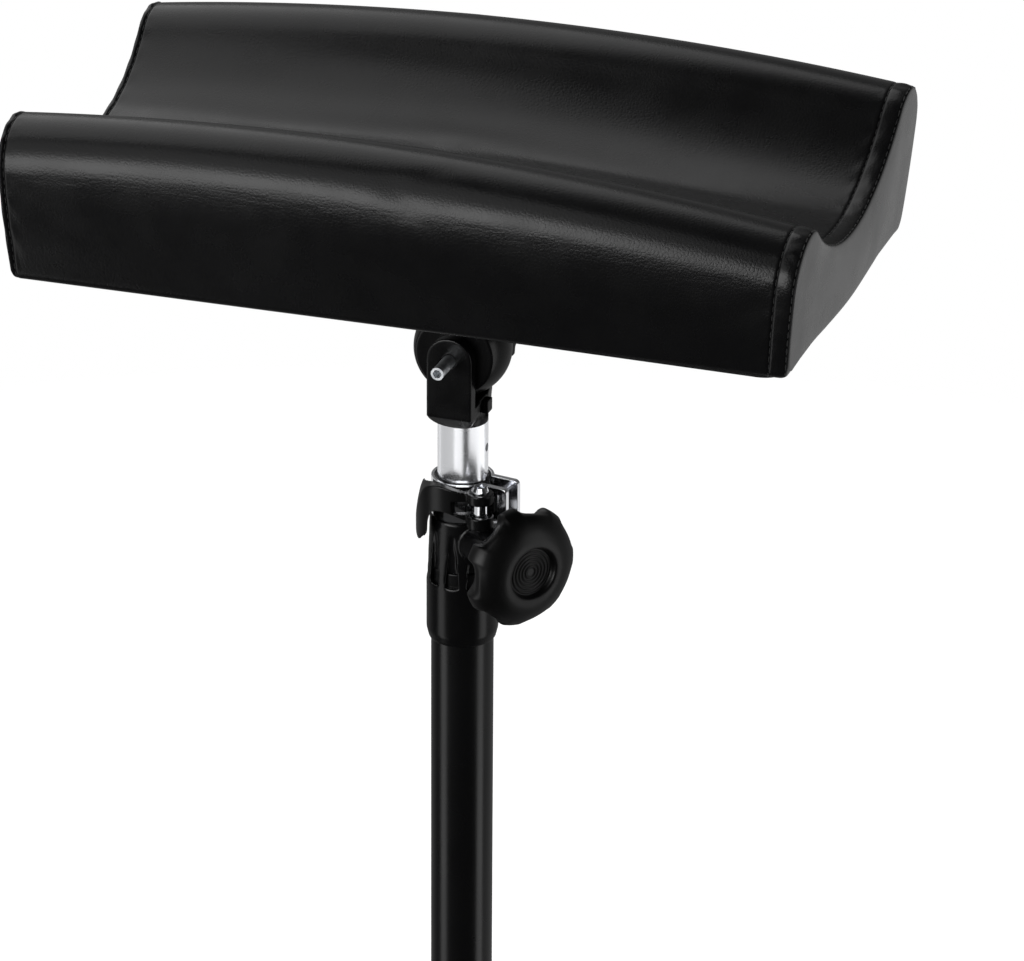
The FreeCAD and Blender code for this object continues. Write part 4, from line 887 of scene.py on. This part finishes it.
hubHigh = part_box("hub_knob")[1]
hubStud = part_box("hub_stud")
hubKnob = {
    "radius": 20.0, "scallop": 8.0, "depth": 3.6, "soft": 1.8, "lobes": 6, "turn": 0.0, "edge": 1.6,
    "rows": 150, "columns": 216,
    "outline": [
        (0, 0, 0), (9.0, 0, 0), (9.2, 8.0, 0), (11.0, 10.6, 0.3), (18.4, 11.6, 1.0), (20.0, 13.6, 1.0),
        (19.8, 19.0, 0.8), (17.4, 22.0, 0.3), (12.0, 23.6, 0.0), (8.0, 24.0, 0.0), (7.0, 22.6, 0.0),
        (0, 22.6, 0),
    ],
}
hubBack = (0, hubHigh.y, (hubStud[0].z + hubStud[1].z) / 2)
makeStarKnob("hubKnob", hubKnob, levelFrame(270), hubBack, "hub_knob", "black_plastic",
             materials["satinNylon"], "hub_knob")
print("stage: knobs")


# Moulded and pressed pieces whose CAD form is right but sharp

softPieces = [
    ("cam_lever", "camLever", 0.4, 7, "cam_lever", "leverNylon", "black_plastic"),
    ("pole_collar", "poleCollar", 0.6, 4, "pole", "glossNylon", "black_plastic"),
    ("cam_washer", "camWasher", 0.3, 3, "pole", "satinNylon", "black_plastic"),
    ("yoke", "tiltYoke", 0.5, 5, "mast", "powder", "black_painted_steel"),
    ("side_screw", "sideScrew", 0.35, 3, "mast", "powder", "black_painted_steel"),
    ("tilt_ball", "tiltBall", 0.6, 5, "pad", "glossNylon", "black_plastic"),
    ("mount_plate", "mountPlate", 0.6, 2, "pad", "powder", "black_painted_steel"),
    ("leg_hub", "legHub", 0.6, 5, "hub", "satinNylon", "black_plastic"),
    ("base_bracket", "baseBracket", 0.6, 5, "pole", "satinNylon", "black_plastic"),
]
for node, name, voxel, soften, body, material, slotName in softPieces:
    roundedCopy(node, name, {"voxel": voxel, "soften": soften}, body, materials[material])
bandEdge = {"width": 0.3, "segments": 3, "sharp": 35}
bevelledCopy("clamp_band", "clampBand", bandEdge, "pole", materials["band"])
print("stage: moulded pieces")


# Tubes and feet

def tubeOutline(outer, inner, start, end, edge=0.4):
    # wall of a tube as a closed outline, from its inside round both rims
    return [(inner, start + edge), (inner, end - edge), (inner + edge, end), (outer - edge, end),
            (outer, end - edge), (outer, start + edge), (outer - edge, start), (inner + edge, start),
            (inner, start + edge)]


def makeTube(name, node, body, material, sizes, axes, origin):
    settings = {"outline": tubeOutline(*sizes), "edge": 0.2, "columns": 96}
    piece = turnedPiece(name, settings, axes, origin, body, materials[material])
    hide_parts(node)


upright = np.eye(3)
poleLow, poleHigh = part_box("outer_pole")
makeTube("outerPole", "outer_pole", "pole", "enamel",
         (15.0, 13.5, poleLow.z / mm, poleHigh.z / mm), upright, (0, 0, 0))

legFoot = {
    "edge": 0.5, "columns": 64,
    "outline": [
        (9.6, 237.0), (11.6, 237.0), (12.3, 239.0), (12.5, 243.0), (11.7, 244.0), (11.7, 245.4),
        (12.5, 246.4), (12.5, 249.6), (11.7, 250.6), (11.7, 252.0), (12.5, 253.0), (12.5, 256.2),
        (11.7, 257.2), (11.7, 258.6), (12.5, 259.6), (12.5, 262.0), (12.1, 265.2), (10.9, 268.1),
        (8.9, 270.7), (6.3, 272.8), (3.2, 274.1), (0, 274.5), (0, 262.2), (9.6, 262.2), (9.6, 237.0),
    ],
}
legSpread = math.radians(60)  # from the vertical, standing
for number in (1, 2, 3):
    hinge = next(joint for joint in frame["joints"] if joint["name"] == f"leg_{number}_hinge")
    pivot = np.array(hinge["pos_m"])
    out = np.array([pivot[0], pivot[1], 0]) / math.hypot(pivot[0], pivot[1])
    down = out * math.sin(legSpread) - np.array([0, 0, math.cos(legSpread)])
    across = np.cross(np.array([0, 0, 1.0]), out)
    axes = np.stack([np.cross(across, down), across, down])
    makeTube(f"legTube{number}", f"leg_tube_{number}", f"leg_{number}", "enamel",
             (9.5, 8.0, 13.0, 262.0), axes, pivot)
    profile = roundCorners(legFoot["outline"], legFoot["edge"])
    grid = turnedGrid(profile, legFoot["columns"]).reshape(-1, 3) * mm @ axes + pivot
    grid[:, 2] = np.maximum(grid[:, 2], 0)
    foot = newPiece(f"legFoot{number}", grid, wrappedFaces(len(profile), legFoot["columns"]),
                    f"leg_{number}", materials["rubber"], 50)
    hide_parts(f"leg_foot_{number}")
print("stage: tubes and feet")


# Finishes of the CAD nodes that stay

finishes = {
    "leather": ["pad_cover", "pad_foam"],
    "plywood": ["pad_board"],
    "nonwoven": ["pad_cloth"],
    "zinc": ["tilt_bolt", "tee_nuts", "pad_screws", "stem_pin", "tilt_washer", "clamp_washer", "lock_stud",
             "hub_stud", "leg_pins", "bracket_screw", "brace_pins", "brace_rivets_1", "brace_rivets_2",
             "brace_rivets_3"],
    "powder": ["mount_plate", "yoke", "side_screw", "brace_1", "brace_2", "brace_3"],
    "glossNylon": ["tilt_ball", "pole_collar"],
    "satinNylon": ["tilt_knob", "tube_guide", "cam_washer", "cam_lever", "lock_knob", "lock_knob_cap",
                   "leg_hub", "hub_knob", "base_bracket", "leg_eye_1", "leg_eye_2", "leg_eye_3"],
    "chrome": ["clamp_band", "clamp_bolt", "barrel_pin", "barrel_screw"],
    "tube": ["inner_tube"],
    "enamel": ["outer_pole", "leg_tube_1", "leg_tube_2", "leg_tube_3"],
    "brass": ["tilt_insert", "lock_insert", "lock_shoe", "hub_insert", "hub_shoe"],
    "rubber": ["pole_foot", "leg_foot_1", "leg_foot_2", "leg_foot_3"],
}
for finish, names in finishes.items():
    for name in names:
        nodes[name].data.materials.clear()
        nodes[name].data.materials.append(materials[finish])
print("stage: finishes")


# Studio

def lightGroup(name, members, state="INCLUDE"):
    # pieces that a light reaches or leaves out, as when parts are photographed apart
    group = bpy.data.collections.new(name)
    for member in members:
        group.objects.link(bpy.data.objects[member])
    for link in group.collection_objects:
        link.light_linking.link_state = state
    return group


metalPieces = ["inner_tube", "clamp_bolt", "barrel_pin", "barrel_screw", "tilt_bolt", "clampBand"]
brightMetal = lightGroup("brightMetal", metalPieces)
allButMetal = lightGroup("allButMetal", metalPieces, "EXCLUDE")
turnedMetal = lightGroup("turnedMetal", [name for name in metalPieces if name != "clampBand"])
coverOnly = lightGroup("coverOnly", ["padCover"])


def addPanel(name, size, place, target, radiance, receivers=None):
    # a soft box that faces its target, for every piece or for a collection of them
    light = bpy.data.lights.new(name, "AREA")
    light.shape = "RECTANGLE"
    light.size, light.size_y = size
    light.energy = radiance * math.pi * size[0] * size[1]
    lamp = linkObject(name, light)
    lamp.location = place
    lamp.rotation_euler = (Vector(target) - Vector(place)).to_track_quat("-Z", "Y").to_euler()
    lamp.light_linking.receiver_collection = receivers


def aroundTube(name, azimuth, wide, radiance, receivers):
    # a soft box for bright metal, below the tube's top so that upright faces mirror it
    ring = {"away": 1.4, "height": -0.08, "tall": 1.6, "aim": 0.52}
    turn = math.radians(azimuth)
    place = (ring["away"] * math.cos(turn), ring["away"] * math.sin(turn), ring["height"])
    addPanel(name, (wide, ring["tall"]), place, (0, 0, ring["aim"]), radiance, receivers)


def makeFloor():
    # pale disc that fades out at its rim; it keeps the object's soft shadow
    floor = {"radius": 1.3, "fadeFrom": 0.8, "rings": 24, "columns": 96}
    radius = np.linspace(0, floor["radius"], floor["rings"])
    grid = turnedGrid(np.stack([radius, np.zeros_like(radius)], -1), floor["columns"]).reshape(-1, 3)
    mesh = bpy.data.meshes.new("studioFloor")
    mesh.from_pydata(grid.tolist(), [], wrappedFaces(floor["rings"], floor["columns"]).tolist())
    piece = linkObject("studioFloor", mesh)
    piece.location.z = -0.5 * mm
    material = bpy.data.materials.new("paleFloor")
    material.use_nodes = True
    tree = material.node_tree
    tree.nodes.clear()
    place = addNode(tree, "ShaderNodeTexCoord").outputs["Object"]
    distance = addNode(tree, "ShaderNodeVectorMath", {"operation": "LENGTH"}, {0: place}).outputs["Value"]
    half = addNode(tree, "ShaderNodeMath", {"operation": "MULTIPLY", 1: 0.5}, {0: distance}).outputs[0]
    fade = ramp(tree, half, floor["fadeFrom"] / 2, floor["radius"] / 2, grey(0), grey(1))
    path = addNode(tree, "ShaderNodeLightPath").outputs
    passing = addNode(tree, "ShaderNodeMath", {"operation": "MAXIMUM"},
                      {0: path["Is Shadow Ray"], 1: path["Is Glossy Ray"]}).outputs[0]
    gone = addNode(tree, "ShaderNodeMath", {"operation": "MAXIMUM"}, {0: fade, 1: passing}).outputs[0]
    seen = path["Is Camera Ray"]
    pale = addNode(tree, "ShaderNodeBsdfDiffuse", {"Color": grey(0.8)}).outputs[0]
    glow = addNode(tree, "ShaderNodeEmission", {"Color": grey(1.0), "Strength": 0.62}).outputs[0]
    lit = addNode(tree, "ShaderNodeAddShader", {}, {0: pale, 1: glow}).outputs[0]
    base = addNode(tree, "ShaderNodeMixShader", {}, {0: seen, 1: pale, 2: lit}).outputs[0]
    clear = addNode(tree, "ShaderNodeBsdfTransparent").outputs[0]
    mixed = addNode(tree, "ShaderNodeMixShader", {}, {0: gone, 1: base, 2: clear}).outputs[0]
    addNode(tree, "ShaderNodeOutputMaterial", {}, {"Surface": mixed})
    mesh.materials.append(material)


def makeWorld():
    # white to the camera; softer to the surfaces, and dim in front as in a dark studio
    world = bpy.data.worlds.new("studio")
    bpy.context.scene.world = world
    world.use_nodes = True
    tree = world.node_tree
    tree.nodes.clear()
    direction = addNode(tree, "ShaderNodeTexCoord").outputs["Generated"]
    parts = addNode(tree, "ShaderNodeSeparateXYZ", {}, {0: direction}).outputs
    half = {"operation": "MULTIPLY_ADD", 1: 0.5, 2: 0.5}
    side, away, height = [addNode(tree, "ShaderNodeMath", half, {0: parts[axis]}).outputs[0]
                          for axis in "XYZ"]
    low = ramp(tree, side, 0.4, 0.6, grey(0.16), grey(0.2))
    high = ramp(tree, side, 0.3, 0.6, grey(0.2), grey(0.1))
    backdrop = addNode(tree, "ShaderNodeMix", {"data_type": "RGBA"},
                       {0: ramp(tree, height, 0.42, 0.62, grey(0), grey(1)), 6: low, 7: high}).outputs[2]
    behind = addNode(tree, "ShaderNodeMix", {"data_type": "RGBA", 6: grey(0.03)},
                     {0: ramp(tree, away, 0.42, 0.7, grey(0), grey(1)), 7: backdrop}).outputs[2]
    path = addNode(tree, "ShaderNodeLightPath").outputs
    mirrored = addNode(tree, "ShaderNodeMath", {"operation": "MAXIMUM"},
                       {0: path["Is Glossy Ray"], 1: path["Is Transmission Ray"]}).outputs[0]
    soft = addNode(tree, "ShaderNodeBackground", {"Color": grey(1.0), "Strength": 0.3}).outputs[0]
    dim = addNode(tree, "ShaderNodeBackground", {"Strength": 1.0}, {"Color": behind}).outputs[0]
    white = addNode(tree, "ShaderNodeBackground", {"Color": grey(1.0), "Strength": 1.0}).outputs[0]
    lit = addNode(tree, "ShaderNodeMixShader", {}, {0: mirrored, 1: soft, 2: dim}).outputs[0]
    shown = addNode(tree, "ShaderNodeMixShader", {}, {0: path["Is Camera Ray"], 1: lit, 2: white}).outputs[0]
    addNode(tree, "ShaderNodeOutputWorld", {}, {"Surface": shown})


def makeCamera():
    # fitted to the pad's outline: direction, turn about the view, and where the middle of the pad's
    # underside lies in the picture
    view = {"azimuth": 18.81, "elevation": 24.43, "roll": 0.42, "focal": 5000.0, "distance": 2311.4,
            "place": (463.5, 251.9), "frame": (1024.0, 961.0)}
    azimuth, elevation, roll = (math.radians(view[key]) for key in ("azimuth", "elevation", "roll"))
    back = np.array([math.sin(azimuth) * math.cos(elevation), -math.cos(azimuth) * math.cos(elevation),
                     math.sin(elevation)])
    right = np.array([math.cos(azimuth), math.sin(azimuth), 0])
    above = np.cross(back, right)
    right, above = (right * math.cos(roll) + above * math.sin(roll),
                    above * math.cos(roll) - right * math.sin(roll))
    depth = view["distance"] * mm
    aside = (view["place"][0] - view["frame"][0] / 2) / view["focal"] * depth
    rise = (view["frame"][1] / 2 - view["place"][1]) / view["focal"] * depth
    centre = np.array([0, 0, padBottom]) + back * depth - right * aside - above * rise
    data = bpy.data.cameras.new("camera")
    data.sensor_width = 36.0
    data.lens = view["focal"] / view["frame"][0] * data.sensor_width
    data.clip_end = 50
    camera = linkObject("camera", data)
    axes = np.stack([right, above, back], 1)
    camera.matrix_world = Matrix([[*row, place] for row, place in zip(axes, centre)] + [[0, 0, 0, 1]])
    bpy.context.scene.camera = camera


makeCamera()
makeFloor()
makeWorld()
addPanel("frontLeft", (1.8, 1.3), (-1.2, -2.6, 0.98), (0, 0, 0.65), 3.9)
addPanel("frontHigh", (2.4, 1.6), (-1.3, -1.9, 2.3), (0, 0, 0.65), 0.65)
addPanel("topLeft", (2.4, 2.4), (-1.15, 0.6, 2.1), (0, 0, 0.65), 1.0)
addPanel("sideRight", (0.7, 2.2), (1.7, -0.03, 0.1), (0, 0, 0.3), 0.95, allButMetal)
addPanel("sideLeft", (0.65, 2.2), (-1.25, -1.0, 0.1), (0, 0, 0.3), 0.95, allButMetal)
addPanel("endFill", (1.3, 1.0), (0.66, 1.35, 0.0), (0.19, 0, 0.65), 0.31, coverOnly)
aroundTube("tubeRight", -3, 2.35, 1.15, brightMetal)
aroundTube("tubeLeft", -90, 0.96, 1.15, turnedMetal)
aroundTube("tubeFarLeft", -154, 2.9, 0.6, turnedMetal)
aroundTube("tubeBehind", 98, 5.1, 0.55, brightMetal)
addPanel("metalTop", (1.6, 1.2), (0.5, -1.6, 1.7), (0, 0, 0.52), 4.5, brightMetal)
bpy.context.scene.view_settings.view_transform = "Standard"
print("stage: studio")
